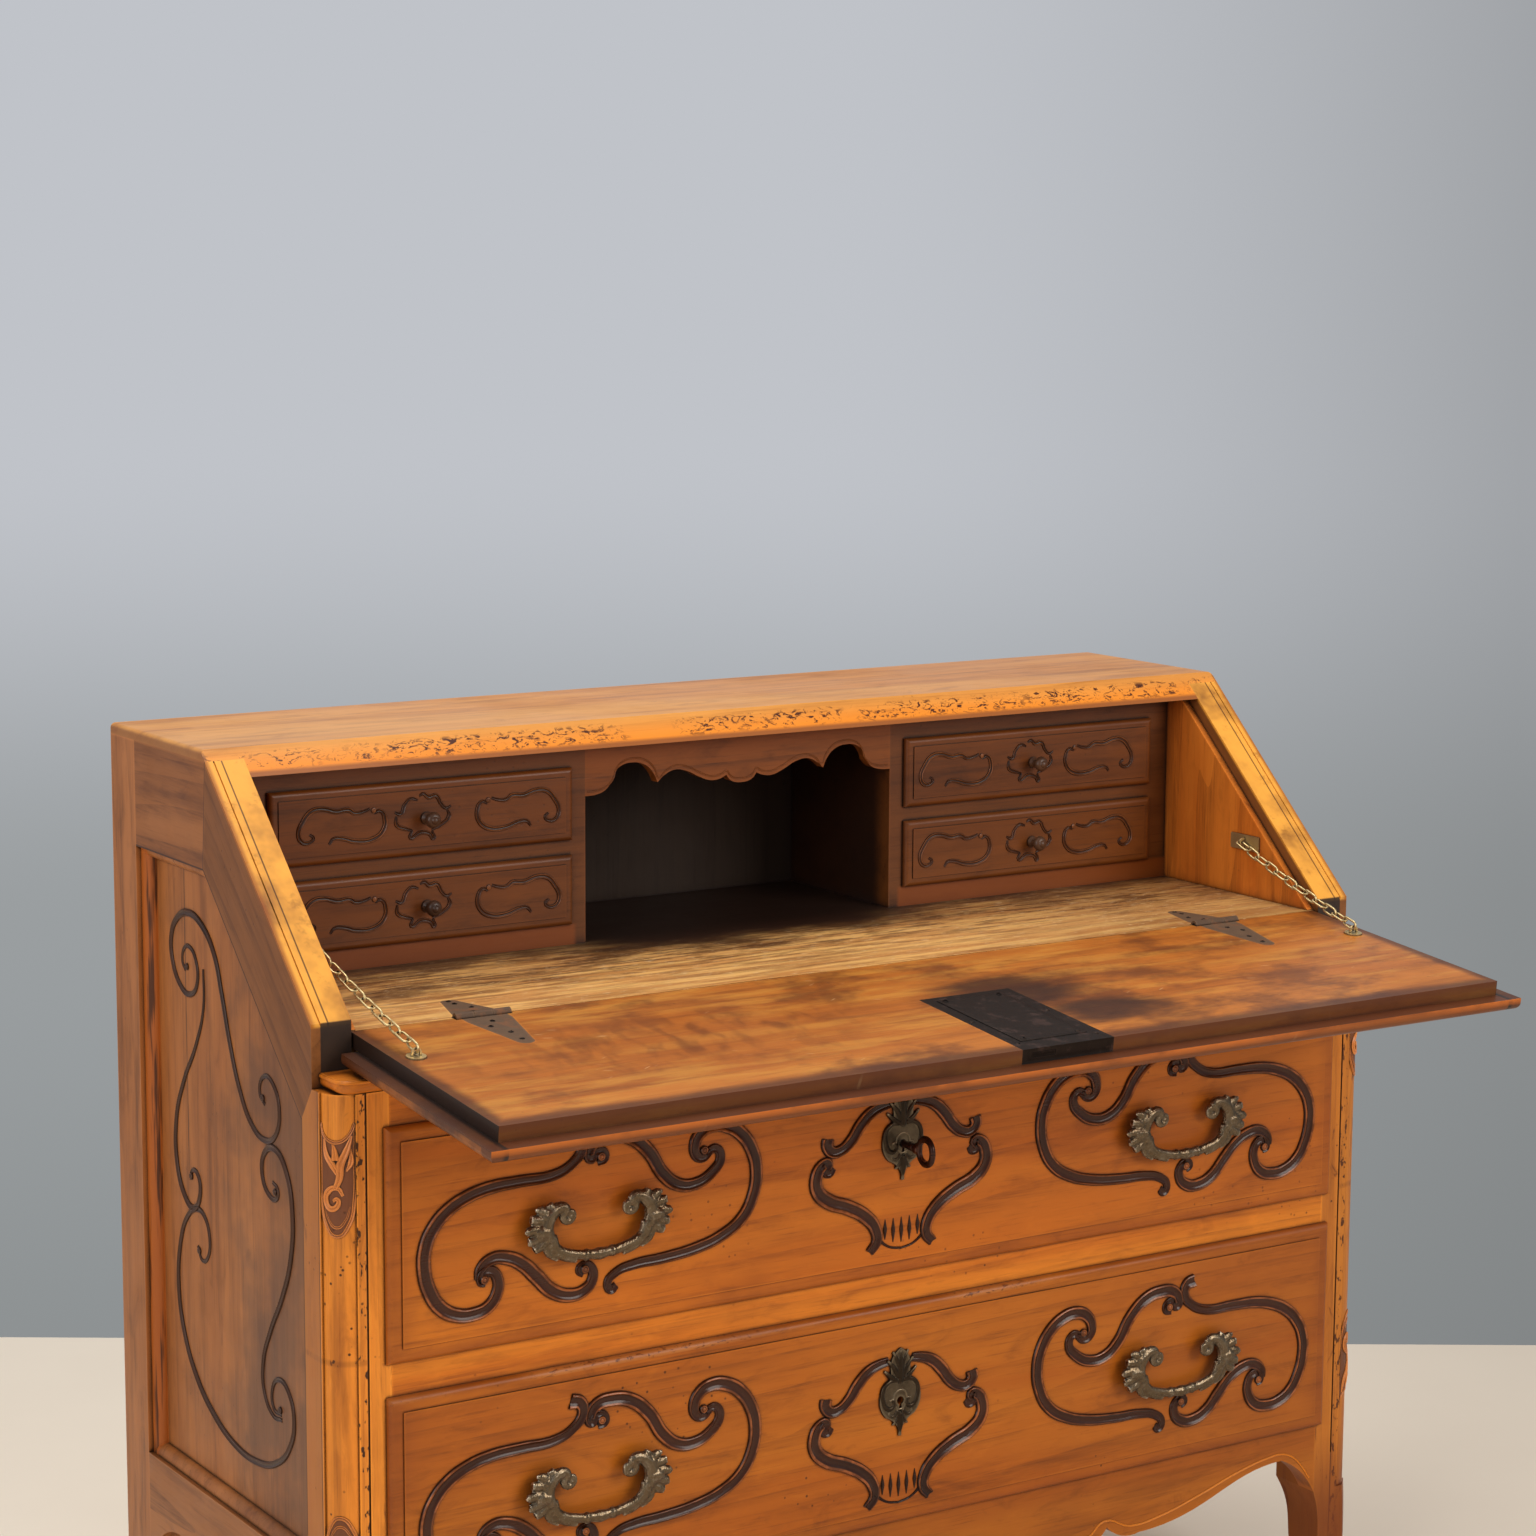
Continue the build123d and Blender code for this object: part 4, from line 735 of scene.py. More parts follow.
GOUGED = [(-1, -0.2), (-1, 0.3), (-0.86, 0.8), (-0.7, 0.95), (-0.56, 0.72), (-0.36, 0.36), (0.02, 0.2),
          (0.4, 0.42), (0.62, 0.84), (0.76, 1), (0.92, 0.78), (1, 0.3), (1, -0.2)]
wide_cut = section("wide_gouge", 12.8, 2.7, GOUGED)
fine_cut = section("fine_gouge", 7.0, 1.8, GOUGED)
small_cut = section("small_gouge", 3.2, 1.1, GOUGED)
nest_cut = section("nest_gouge", 4.0, 1.3, GOUGED)


def band(points, cut, swell=(1, 1), smooth=6):
    """A section, or a round rod of a radius, run along a line and thicker or thinner as swell says."""
    pick_none()
    bpy.ops.curve.primitive_bezier_curve_add()
    line = bpy.context.object
    line.data.dimensions = "2D" if len(points[0]) == 2 else "3D"
    spline = line.data.splines[0]
    spline.bezier_points.add(len(points) - 2)
    last = len(points) - 1
    for i, (knot, point) in enumerate(zip(spline.bezier_points, points)):
        knot.co = (*point, 0)[:3]
        knot.handle_left_type = knot.handle_right_type = "AUTO"
        at = i / last * (len(swell) - 1)
        low = min(int(at), len(swell) - 2)
        knot.radius = swell[low] + (swell[low + 1] - swell[low]) * (at - low)
    line.data.resolution_u = smooth
    line.data.use_fill_caps = True
    if isinstance(cut, float):
        line.data.bevel_depth, line.data.bevel_resolution = cut, 3
    else:
        line.data.bevel_mode, line.data.bevel_object = "OBJECT", cut
    bpy.ops.object.convert(target="MESH")
    return bpy.context.object


def settled():
    """Leaves edit mode and puts the piece's place into its mesh."""
    if bpy.context.object.mode != "OBJECT":
        bpy.ops.object.mode_set(mode="OBJECT")
    bpy.ops.object.transform_apply(location=True, rotation=True, scale=True)
    return bpy.context.object


def boss(centre, radius, height):
    """The round eye of a scroll: a dome with a ring cut in it."""
    pick_none()
    bpy.ops.mesh.primitive_circle_add(vertices=16, radius=radius, fill_type="NGON",
                                      location=(*centre, -0.2 * height), enter_editmode=True)
    for rise, shrink in ((0.8, 1), (0.35, 0.8), (0.0, 0.72), (-0.2, 0.9), (0.25, 0.8), (0.1, 0.5)):
        bpy.ops.mesh.extrude_region_move(TRANSFORM_OT_translate={"value": (0, 0, rise * height)})
        bpy.ops.transform.resize(value=(shrink, shrink, 1), center_override=(*centre, 0))
    return settled()


def whole(name, parts, smooth=40):
    """Joins meshes into one piece and turns its faces outwards."""
    pick_none()
    for part in parts:
        part.select_set(True)
    bpy.context.view_layer.objects.active = parts[0]
    if len(parts) > 1:
        bpy.ops.object.join()
    piece = settled()
    piece.name = piece.data.name = name
    bpy.ops.object.mode_set(mode="EDIT")
    bpy.ops.mesh.select_all(action="SELECT")
    bpy.ops.mesh.remove_doubles(threshold=0.00002)
    bpy.ops.mesh.normals_make_consistent(inside=False)
    bpy.ops.object.mode_set(mode="OBJECT")
    bpy.ops.object.shade_smooth_by_angle(angle=math.radians(smooth))
    return piece


def laid(part, place):
    """Puts a part where a matrix says."""
    part.data.transform(place)
    return part


def ship(piece, body, slot, material, *replaced):
    """Gives a piece its finish and its body, and says which plain parts it stands for."""
    piece.data.materials.clear()
    piece.data.materials.append(material)
    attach(piece, body)
    if replaced:
        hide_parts(*replaced)
    faces = sum(len(p.vertices) - 2 for p in piece.data.polygons)
    print(piece.name, "rides on", body, "with", faces, "triangles")


def on_front(x, y, z, flip=1):
    """From a drawing in millimetres to a face that looks to the front, at x, y, z in metres."""
    return Matrix(((flip * 0.001, 0, 0, x), (0, 0, -0.001, y), (0, 0.001, 0, z), (0, 0, 0, 1)))


# %% [markdown]
# ## The stain in the carving
# The carved bands were rubbed with a dark stain, and handling brought the
# wood back on their rims, so the same walnut is used with a nearly black
# hollow and a red-brown rim, under a harder polish.

# %% Carved finish
drawer_face, nest_face = -0.12569, 0.16031
STAINED = dict(rings=0.1, streaks=0.5, worm=0.0, grime_and_shade=0.95, relief=0.5)


def rubbed_rim(face, rim, colour):
    """Brings the wood back where a band stands proudest of a front; face and rim are places in y."""
    def marks(graph, spot, across, back, height):
        worn = graph.noise(spot, 60.0, 3.0, 0.6).rise(0.4, 0.6)
        return [(back.rise(face + (rim - face) * 0.72, rim) * (0.35 + worn * 0.65), colour)]
    return marks


carved = walnut("stained_carving", "x", ((16, 7, 4), (38, 17, 8), (58, 28, 13)), **STAINED, reach=0.004,
                polish=0.14, marks=rubbed_rim(drawer_face, -0.1283, (150, 84, 42)))
carved_nest = walnut("stained_small_carving", "x", ((16, 8, 5), (46, 23, 12), (66, 35, 18)), **STAINED,
                     reach=0.004, polish=0.24, marks=rubbed_rim(nest_face, 0.1592, (128, 76, 42)))
carved_side = walnut("stained_side_carving", "z", ((20, 11, 7), (50, 28, 16), (72, 42, 25)), **STAINED,
                     reach=0.0035, polish=0.26)

# %% [markdown]
# ## Scrolls on the long drawers
# Round each handle run four bands that almost close into a leaning oval,
# with their ends coiled against each other. The other end of the drawer is
# its mirror image. The lyre round the keyhole is five flutes between two
# more pairs of bands. The points are millimetres from the handle's centre,
# or from the keyhole.

# %% Long drawer carving
HANDLE_X = 0.3425
HANDLE_Z, KEY_Z = {"upper": 0.57615, "lower": 0.3263}, {"upper": 0.595, "lower": 0.3382}
OVAL = [
    ([(-24, 75), (-14, 72), (-11.5, 61), (-21.5, 49), (-38, 41.5), (-77.5, 39.9), (-105.5, 38.5), (-129.5, 33),
      (-149.5, 23), (-163.5, 9), (-171.5, -8), (-172.7, -28), (-167.5, -48), (-157.5, -64), (-141.5, -74),
      (-123.5, -76), (-108, -71), (-99.5, -59), (-99, -47), (-105, -39), (-114, -40), (-116, -47.5),
      (-111, -50)], (1.15, 0.75, 1.0, 1.1, 1.1, 1.0, 0.8, 0.5)),
    ([(5, 46), (13, 49), (11, 56), (3, 56.5), (-2, 51), (-3, 60), (4, 67.5), (18.5, 69.7), (38.5, 65.7),
      (58.5, 49.7), (74.5, 25.7), (90.5, 13.7), (108.5, 11.7), (126.5, 19.7), (136.5, 33.7), (131, 42.5),
      (122, 40)], (0.5, 0.7, 1.1, 1.1, 0.9, 0.6)),
    ([(126, 40), (118, 35), (110.5, 38), (108, 48), (115, 60), (129, 65), (145, 62), (160, 52), (171, 35.9),
      (176, 15.9), (172.5, -8), (160.5, -28), (138.5, -42), (110.5, -50), (74.5, -54), (42.5, -55.5),
      (24, -60), (15, -69), (19, -76), (24, -72)], (0.5, 0.9, 1.1, 1.1, 1.0, 0.9, 0.7, 0.6)),
    ([(-10, -57), (-15, -52), (-10, -48), (-2, -52), (-1, -63), (-10, -72), (-26, -74), (-43.5, -67),
      (-59.5, -51), (-74, -37), (-89.5, -29), (-106, -28), (-116.5, -36), (-118, -45)],
     (0.5, 0.7, 1.0, 1.15, 1.0, 0.7)),
]
LYRE = [
    ([(-14, 41), (-26, 39), (-38, 34), (-49, 24), (-60, 10), (-71, 2.5), (-81, 2), (-87, 9), (-86, 15)],
     (0.7, 1.1, 0.9, 1.1)),
    ([(-79, -14), (-84, -19), (-89, -15), (-86, -9), (-93, -10), (-99, -20), (-98, -33), (-86, -45),
      (-62, -55), (-42, -67), (-31, -80), (-29, -93), (-37, -103)], (0.5, 0.8, 1.1, 1.2, 1.1, 0.8)),
]
EYES = [(-112.5, -46), (8.5, 51.5), (118.5, 42.5), (-9, -52)]
FLUTES = [(-19, 20), (-9.5, 24), (0, 25), (9.5, 24), (19, 20)]
for row in ROWS:
    parts = []
    for side in (-1, 1):
        round_handle = on_front(side * HANDLE_X, drawer_face, HANDLE_Z[row], -side)
        round_key = on_front(0, drawer_face, KEY_Z[row], -side)
        parts += [laid(band(points, wide_cut, swell), round_handle) for points, swell in OVAL]
        parts += [laid(boss(eye_at, 4.2, 2.6), round_handle) for eye_at in EYES]
        parts += [laid(band(points, wide_cut, swell), round_key) for points, swell in LYRE]
        parts.append(laid(band([(-28, -91), (-14, -101), (0, -104)], small_cut, (1, 0.7, 0.7)), round_key))
    for x, tall in FLUTES:
        flute = band([(x, -73), (x, -73 - tall / 2), (x, -73 - tall)], small_cut, (0.25, 1.3, 0.3))
        parts.append(laid(flute, on_front(0, drawer_face, KEY_Z[row])))
    ship(whole(f"{row}_drawer_carving", parts), f"{row}_drawer", "case_wood", carved)

# %% [markdown]
# ## Scrolls on the side panels
# Each side has four long, thin scrolls that wander over the whole panel and
# meet in coils. They are finer than the drawers' bands and almost flush. The
# points are millimetres, back from the front and up from the floor, so one
# list serves both sides, and the right side is its mirror image.

# %% Side panel carving
SIDES = {"left": -1, "right": 1}
panel_x, front_y = 0.584, -0.11769
WANDERING = [
    [(350, 764), (357, 772), (352, 785), (339, 788), (325, 778), (322, 757), (340, 742), (364, 748), (381, 770),
     (382, 793), (367, 812), (340, 821), (309, 814), (282, 792), (265, 755), (249, 713), (228, 672), (203, 645),
     (175, 636), (151, 645), (141, 669), (153, 692), (174, 696), (184, 679), (173, 670)],
    [(308, 772), (309, 735), (329, 694), (359, 654), (379, 612), (379, 569), (363, 541), (342, 532), (326, 546),
     (327, 565), (341, 570), (349, 560)],
    [(333, 497), (323, 485), (308, 493), (305, 515), (317, 531), (334, 533), (356, 521), (374, 492), (381, 444),
     (368, 399), (340, 363), (302, 338), (254, 322), (203, 320), (159, 332), (130, 355), (119, 383), (129, 407),
     (149, 415), (165, 404), (164, 384), (147, 382)],
    [(159, 600), (147, 595), (149, 587), (166, 586), (181, 603), (174, 625), (150, 632), (127, 615), (116, 580),
     (121, 537), (142, 494), (168, 457), (186, 420), (184, 393), (165, 376), (146, 377)],
]
COILS = [(346, 768), (177, 675), (345, 563), (329, 493), (153, 592), (149, 386)]
for hand, side in SIDES.items():
    on_side = Matrix(((0, 0, side * 0.001, side * panel_x), (0.001, 0, 0, front_y), (0, 0.001, 0, 0),
                      (0, 0, 0, 1)))
    parts = [laid(band(points, fine_cut, (0.5, 0.8, 1.05, 0.85, 0.55)), on_side) for points in WANDERING]
    parts += [laid(boss(coil, 3.4, 1.9), on_side) for coil in COILS]
    ship(whole(f"{hand}_side_carving", parts), "carcase", "side_wood", carved_side)

# %% [markdown]
# ## Cartouches on the small drawers
# The small drawers repeat the same idea in miniature: two open cartouches and
# a ragged rosette round the knob, cut with a veiner and darkened. They are
# modelled once as lines and laid on each of the four fronts.

# %% Small drawer carving
KNOB_X, KNOB_Z = 0.3635, {"upper": 0.9025, "lower": 0.81625}
CARTOUCHE = [
    [(-35, 9), (-41, 11), (-46, 2.6), (-44, -8), (-34, -15.5), (-14.3, -16.3), (-1, -12.4), (9, -12.3), (13, -17)],
    [(-30, 14), (-25, 12), (-14, 11), (-8, 14.5), (5, 13.8), (18.7, 17.5), (31, 16.2), (40, 7), (44.8, -4.6),
     (41, -12.7), (33, -13.6), (29, -9.5), (33, -6)],
]
ROSETTE = [
    [(-33.4, 8), (-27, 6), (-23, 14), (-16, 20), (-9, 18)],
    [(-7, 22), (-3, 24), (3, 20), (11, 21), (16, 13), (21.5, 8), (27, 10)],
    [(23, 6), (25, 0), (16, -8), (6, -12)],
    [(-32, 4), (-31.5, -4), (-22, -9), (-15, -11)],
    [(-15, -11), (-17, -18), (-7, -14), (4, -16), (8, -21), (6.5, -13)],
]


def cartouche(place):
    """Two open scrolls and the eye between them, laid at a place."""
    parts = [laid(band(points, nest_cut, (0.6, 1.1, 1.2, 1.0, 0.6), 4), place) for points in CARTOUCHE]
    return parts + [laid(boss((-34, 12), 2.6, 1.2), place)]


for row in ROWS:
    for hand, side in SIDES.items():
        middle, knob_z = side * KNOB_X, KNOB_Z[row]
        at_knob = on_front(middle, nest_face, knob_z)
        parts = [laid(band(points, nest_cut, (0.5, 1.1, 0.9, 0.5), 4), at_knob) for points in ROSETTE]
        parts += cartouche(on_front(middle - side * 0.1015, nest_face, knob_z, -side))
        parts += cartouche(on_front(middle + side * 0.09, nest_face, knob_z, side))
        ship(whole(f"{row}_small_carving_{hand}", parts), f"{row}_small_drawer_{hand}", "desk_wood", carved_nest)

# %% [markdown]
# ## Leaf shields on the corner posts
# At the top of each round corner the carver cut a shield with a curled leaf
# on a punched ground, and at its foot the same shield upside down. It is
# drawn flat, as the carver would on paper, and then wrapped round the post:
# the drawing's width becomes an angle round the column's axis.

# %% Post shields
def filled(points, thickness, sharp=()):
    """A flat plate with a drawn outline, smooth at its knots except where sharp names them."""
    pick_none()
    bpy.ops.curve.primitive_bezier_circle_add()
    line = bpy.context.object
    line.data.dimensions = "2D"
    spline = line.data.splines[0]
    spline.bezier_points.add(len(points) - 4)
    for knot, point in zip(spline.bezier_points, points):
        knot.co = (*point, 0)
        knot.handle_left_type = knot.handle_right_type = "VECTOR" if point in sharp else "AUTO"
    line.data.fill_mode, line.data.extrude, line.data.resolution_u = "BOTH", thickness, 4
    bpy.ops.object.convert(target="MESH")
    return bpy.context.object


def sliced(plate, outline):
    """Cuts a plate into narrow strips, so that it can bend."""
    bpy.ops.object.mode_set(mode="EDIT")
    for axis, margin, gap, way in ((0, 2, 3, (1, 0, 0)), (1, 4, 8, (0, 1, 0))):
        places = [point[axis] for point in outline]
        for at in range(int(min(places)) + margin, int(max(places)), gap):
            bpy.ops.mesh.select_all(action="SELECT")
            bpy.ops.mesh.bisect(plane_co=tuple(at * part for part in way), plane_no=way)
    bpy.ops.object.mode_set(mode="OBJECT")
    return plate


column_x, column_y, column_radius = 0.576, -0.09369, 22.0


def wrap(piece, side, middle_z, upside):
    """Bends a drawing round the corner column: width to angle, height stays height."""
    for corner in piece.data.vertices:
        width, tall, proud = corner.co
        angle = math.radians(45) + width / column_radius * side
        reach = (column_radius + proud) / 1000
        corner.co = (side * (column_x + reach * math.sin(angle)), column_y - reach * math.cos(angle),
                     middle_z + upside * tall / 1000)
    return piece


SHIELD = [(-17, 52), (-13, 42), (-5, 37), (4, 37), (12, 43), (17, 53), (16.5, 20), (16, -15), (11, -38), (0, -50),
          (-11, -38), (-16, -15), (-16.5, 20)]
LEAF = [
    ([(-17, 52), (-13, 42), (-5, 36.5), (4, 36.5), (12, 43), (17, 53)], (0.7, 1, 1, 0.7)),
    ([(-17, 52), (-16.5, 20), (-16, -15), (-11, -38), (0, -49), (11, -38), (16, -15), (16.5, 20), (17, 53)],
     (0.6, 1, 1.1, 1.1, 1, 0.6)),
    ([(-12, -22), (-8, -34), (0, -41), (8, -34), (12, -22)], (0.4, 0.9, 0.4)),
]
STEM = [
    ([(-3, -17), (1, -15), (1, -21), (-5, -24), (-10, -18), (-8, -9), (1, -5), (6, -12)],
     (0.5, 0.8, 1.1, 1.0, 0.5)),
    ([(-1, -6), (3, 4), (4, 16), (9, 28), (14, 42)], (0.8, 1.2, 1.3, 0.4)),
    ([(2, 8), (-3, 16), (-9, 24), (-12, 38)], (0.9, 1.3, 0.4)),
    ([(0, 20), (-1, 28), (-3, 35)], (1.3, 0.9, 0.3)),
    ([(9, 10), (13, 18), (13, 30)], (0.3, 1.0, 0.3)),
]
leaf_cut = section("leaf_gouge", 6.0, 2.2, [(-1, -0.2), (-0.9, 0.6), (-0.5, 1), (0, 0.55), (0.5, 1),
                                            (0.9, 0.6), (1, -0.2)])
leaf_wood = walnut("walnut_carved_leaf", "z", ((70, 32, 14), (178, 98, 42), (206, 126, 60)), rings=0.1,
                   worm=0.2, grime_and_shade=0.9, reach=0.004, polish=0.26)
ground_wood = walnut("punched_ground", "z", ((30, 16, 10), (74, 40, 22), (112, 64, 36)), rings=0.1,
                     worm=1.0, grime_and_shade=0.8, reach=0.003, polish=0.4, relief=0.9)
for hand, side in SIDES.items():
    grounds, leaves = [], []
    for end in ((0.6355, 1), (0.279, -1)):
        grounds.append(wrap(sliced(filled(SHIELD, 0.35), SHIELD), side, *end))
        for lines, cut in ((LEAF, small_cut), (STEM, leaf_cut)):
            leaves += [wrap(band(points, cut, swell), side, *end) for points, swell in lines]
    ship(whole(f"{hand}_shield_grounds", grounds), "carcase", "case_wood", ground_wood)
    ship(whole(f"{hand}_shield_leaves", leaves), "carcase", "case_wood", leaf_wood)

# %% [markdown]
# ## Drop handles
# Each handle is a bronze casting: a bow that hangs between two acanthus
# heads, each a cluster of leaf fingers that roll into a scroll. A founder
# would model one in wax and cast them all from it, so one is modelled here
# too. Every finger and the bow is a round rod that swells and tapers; the
# rods are fused by a voxel remesh, which leaves soft creases where fingers
# meet, as wax does, and a fine displacement stands for the chasing.

# %% One handle
HEAD = [
    ([(33, 5), (29, 8), (27, 4), (30, 0), (35, 0), (38, 5), (35, 11), (42, 13), (50, 8), (55, -3), (52, -16)],
     3.4, (0.9, 0.8, 1.0, 1.2, 1.6, 2.1, 2.0)),
    ([(54, -8), (61, -7), (67, -7)], 8.2, (1, 1, 0.7)),
    ([(50, 2), (55, 6), (59, 8)], 6.6, (1, 1, 0.7)),
    ([(55, -15), (62, -20), (68, -23)], 4.6, (1, 1.1, 0.85)),
    ([(57, -10), (66, -13), (73, -15)], 4.8, (1, 1.1, 0.85)),
    ([(58, -3), (67, -4), (75, -5)], 4.8, (1, 1.1, 0.85)),
    ([(57, 3), (65, 5), (71, 6)], 4.6, (1, 1.1, 0.85)),
    ([(53, 8), (59, 12), (63, 14)], 4.4, (1, 1.1, 0.85)),
    ([(46, 11), (50, 15), (52, 18)], 4.0, (1, 1.1, 0.85)),
    ([(39, 12), (41, 16), (42, 18)], 3.4, (1, 1.0, 0.8)),
    ([(52, -14), (47, -25), (37, -33), (24, -38)], 5.0, (1.2, 1.0, 0.85, 0.6)),
    ([(57, -18), (53, -28), (44, -35)], 3.4, (1, 1, 0.5)),
    ([(44, -24), (36, -30), (28, -33)], 3.0, (0.6, 1, 0.4)),
]
BOW = [
    ([(50, -13), (45, -24), (28, -32), (0, -35), (-28, -32), (-45, -24), (-50, -13)], 4.9,
     (1.2, 0.9, 0.95, 0.9, 1.2)),
    ([(-10, -35), (0, -35.5), (10, -35)], 6.0, (0.7, 1, 0.7)),
    ([(-19, -33.5), (-14, -34.5), (-7, -35.5)], 5.6, (0.6, 1.05, 0.6)),
    ([(7, -35.5), (14, -34.5), (19, -33.5)], 5.6, (0.6, 1.05, 0.6)),
    ([(24, -38), (34, -35), (42, -28)], 2.6, (0.5, 1, 0.5)),
    ([(-24, -38), (-34, -35), (-42, -28)], 2.6, (0.5, 1, 0.5)),
]
TIPS = [(30, 4), (72, -16), (75, -5), (64, 14)]


def rods(lines, flip=1):
    """Round rods along drawn lines, or along their mirror image."""
    return [band([(flip * x, z, 0) for x, z in points], size, swell, 5) for points, size, swell in lines]


def ball(x, z):
    """A small ball at a leaf's tip."""
    pick_none()
    bpy.ops.mesh.primitive_uv_sphere_add(segments=16, ring_count=10, radius=2.6, location=(x, z, 0.6))
    return settled()


def change(piece, kind, **settings):
    """Adds a modifier, sets it and applies it."""
    modifier = piece.modifiers.new(kind.lower(), kind)
    for name, value in settings.items():
        setattr(modifier, name, value)
    bpy.ops.object.modifier_apply(modifier=modifier.name)


def fused(name, parts, voxel, passes):
    """Melts rods into one casting and softens its creases."""
    casting = whole(name, parts, 180)
    change(casting, "REMESH", mode="VOXEL", voxel_size=voxel)
    change(casting, "SMOOTH", factor=0.5, iterations=passes)
    return casting


def copied(pattern, name):
    """A copy with a mesh of its own."""
    copy = pattern.copy()
    copy.data = pattern.data.copy()
    copy.name = copy.data.name = name
    scene.collection.objects.link(copy)
    return copy


parts = rods(BOW)
for flip in (-1, 1):
    parts += rods(HEAD, flip) + [ball(flip * x, z) for x, z in TIPS]
pattern = fused("handle_pattern", parts, 0.75, 3)
chasing = bpy.data.textures.new("chasing", "WOOD")
chasing.wood_type, chasing.noise_scale, chasing.turbulence = "RINGNOISE", 2.2, 3.0
change(pattern, "DISPLACE", texture=chasing, strength=0.5, mid_level=0.5)
bpy.ops.object.shade_smooth()
print("one handle has", len(pattern.data.polygons), "faces")

# %% Four handles
handle_y, flatter = -0.1378, Matrix.Diagonal((1, 1, 0.78, 1))
for row in ROWS:
    for hand, side in SIDES.items():
        handle = copied(pattern, f"{row}_handle_{hand}")
        laid(handle, on_front(side * HANDLE_X, handle_y, HANDLE_Z[row]) @ flatter)
        ship(handle, f"{row}_bail_{hand}", "bronze", bronze, f"{row}_drawer_bail_{hand}")
bpy.data.objects.remove(pattern)

# %% [markdown]
# ## Keyhole plates
# The plates are thin castings of the same bronze, with a leaf at the top,
# scrolls at the sides and a drop below. The flat plate is in the model
# already, so only the relief is added, fused in the same way.

# %% Keyhole reliefs
PLATE_RELIEF = [
    ([(0, 17), (0, 32), (0, 51)], 3.0, (1, 1.2, 0.5)),
    ([(3, 24), (8, 34), (15, 42)], 2.4, (1, 1.1, 0.5)),
    ([(4, 20), (12, 26), (19, 32)], 2.3, (1, 1.1, 0.5)),
    ([(2, 34), (5, 43), (9, 50)], 2.2, (1, 1.0, 0.5)),
    ([(4, 20), (13, 20), (20, 13), (20, 2), (14, -7), (8, -5), (9, 1), (13, 1)], 2.2, (0.8, 1.1, 1.2, 1.0, 0.7)),
    ([(3, -10), (8, -15), (13, -13), (12, -9)], 2.0, (1, 1, 0.6)),
    ([(1, -12), (5, -21), (9, -24)], 2.0, (1, 1, 0.5)),
    ([(0, -12), (-1, -24), (1, -36)], 2.6, (1, 1, 0.4)),
    ([(7.5, 3), (5.5, 8.5), (0, 10.5), (-5.5, 8.5), (-7.5, 3), (-5, -6), (0, -9), (5, -6), (7.5, 3)], 1.3,
     (1, 1)),
]
plate_y, thinner = -0.1272, Matrix.Diagonal((1, 1, 0.8, 1))
for row in ROWS:
    parts = [rod for line in PLATE_RELIEF for flip in (-1, 1) for rod in rods([line], flip)]
    relief = fused(f"{row}_keyhole_relief", parts, 0.6, 2)
    bpy.ops.object.shade_smooth()
    laid(relief, on_front(0, plate_y, KEY_Z[row]) @ thinner)
    ship(relief, f"{row}_drawer", "bronze", dark_bronze)

# %% [markdown]
# ## Stay chains
# The open fall hangs on two brass chains, each of twelve oval links bent from
# wire, every other one turned a quarter. A link is a torus stretched into an
# oval, copied along the line from the cheek to the fall, which sags a little.
# When the fall closes, the chain's lower end goes with it; here the chains are made for the open fall only.

# %% Chains
LINKS, SAG, OVERSHOOT = 12, 12, 1.4


def one_link(length, width, wire):
    """An oval ring of wire along x, in millimetres."""
    pick_none()
    bpy.ops.mesh.primitive_torus_add(major_segments=28, minor_segments=10, major_radius=(width - wire) / 2,
                                     minor_radius=wire / 2)
    ring = bpy.context.object
    bpy.ops.object.mode_set(mode="EDIT")
    edit = bmesh.from_edit_mesh(ring.data)
    for side in (-1, 1):
        for corner in edit.verts:
            corner.select = corner.co.x * side > 0.01
        edit.select_flush_mode()
        bmesh.update_edit_mesh(ring.data)
        bpy.ops.transform.translate(value=(side * (length - width) / 2, 0, 0))
    bpy.ops.object.mode_set(mode="OBJECT")
    return ring


def chain(name, side):
    """Twelve links from the cheek's staple to the fall's."""
    front = front_y * 1000
    start, end = Vector((side * 544.9, front + 148, 818)), Vector((side * 538, front - 43.3, 759.8))
    past = (end - start).normalized() * OVERSHOOT
    first, step = start - past, (end - start + past * 2) / LINKS
    link = one_link(step.length + 5.0, 11.0, 2.3)
    links = []
    for number in range(LINKS):
        share = (number + 0.5) / LINKS
        heading = (step - Vector((0, 0, SAG * (1 - 2 * share) / LINKS))).normalized()
        across = heading.cross(Vector((0, 0, 1))).normalized()
        face = across if number % 2 else heading.cross(across).normalized()
        turn = Matrix((heading, face.cross(heading), face)).transposed().to_4x4()
        at = first + step * (number + 0.5) - Vector((0, 0, SAG * share * (1 - share)))
        links.append(laid(copied(link, name), Matrix.Scale(0.001, 4) @ Matrix.Translation(at) @ turn))
    bpy.data.objects.remove(link)
    piece = whole(name, links, 180)
    piece.data.materials.clear()
    piece.data.materials.append(brass)
    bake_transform(piece)
    print(name, "has", len(links), "links")
    return piece


left_chain, right_chain = chain("left_stay_chain", -1), chain("right_stay_chain", 1)
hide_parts("stay_chains")

# %% [markdown]
# ## The scalloped valance
# The board over the middle compartment is cut in scallops that meet in sharp
# points, which the measured model draws with straight cuts only. Here the
# outline is a closed curve: its knots are smooth in the scallops and sharp
# where two of them meet. A scribed bead follows the cut edge on its face.

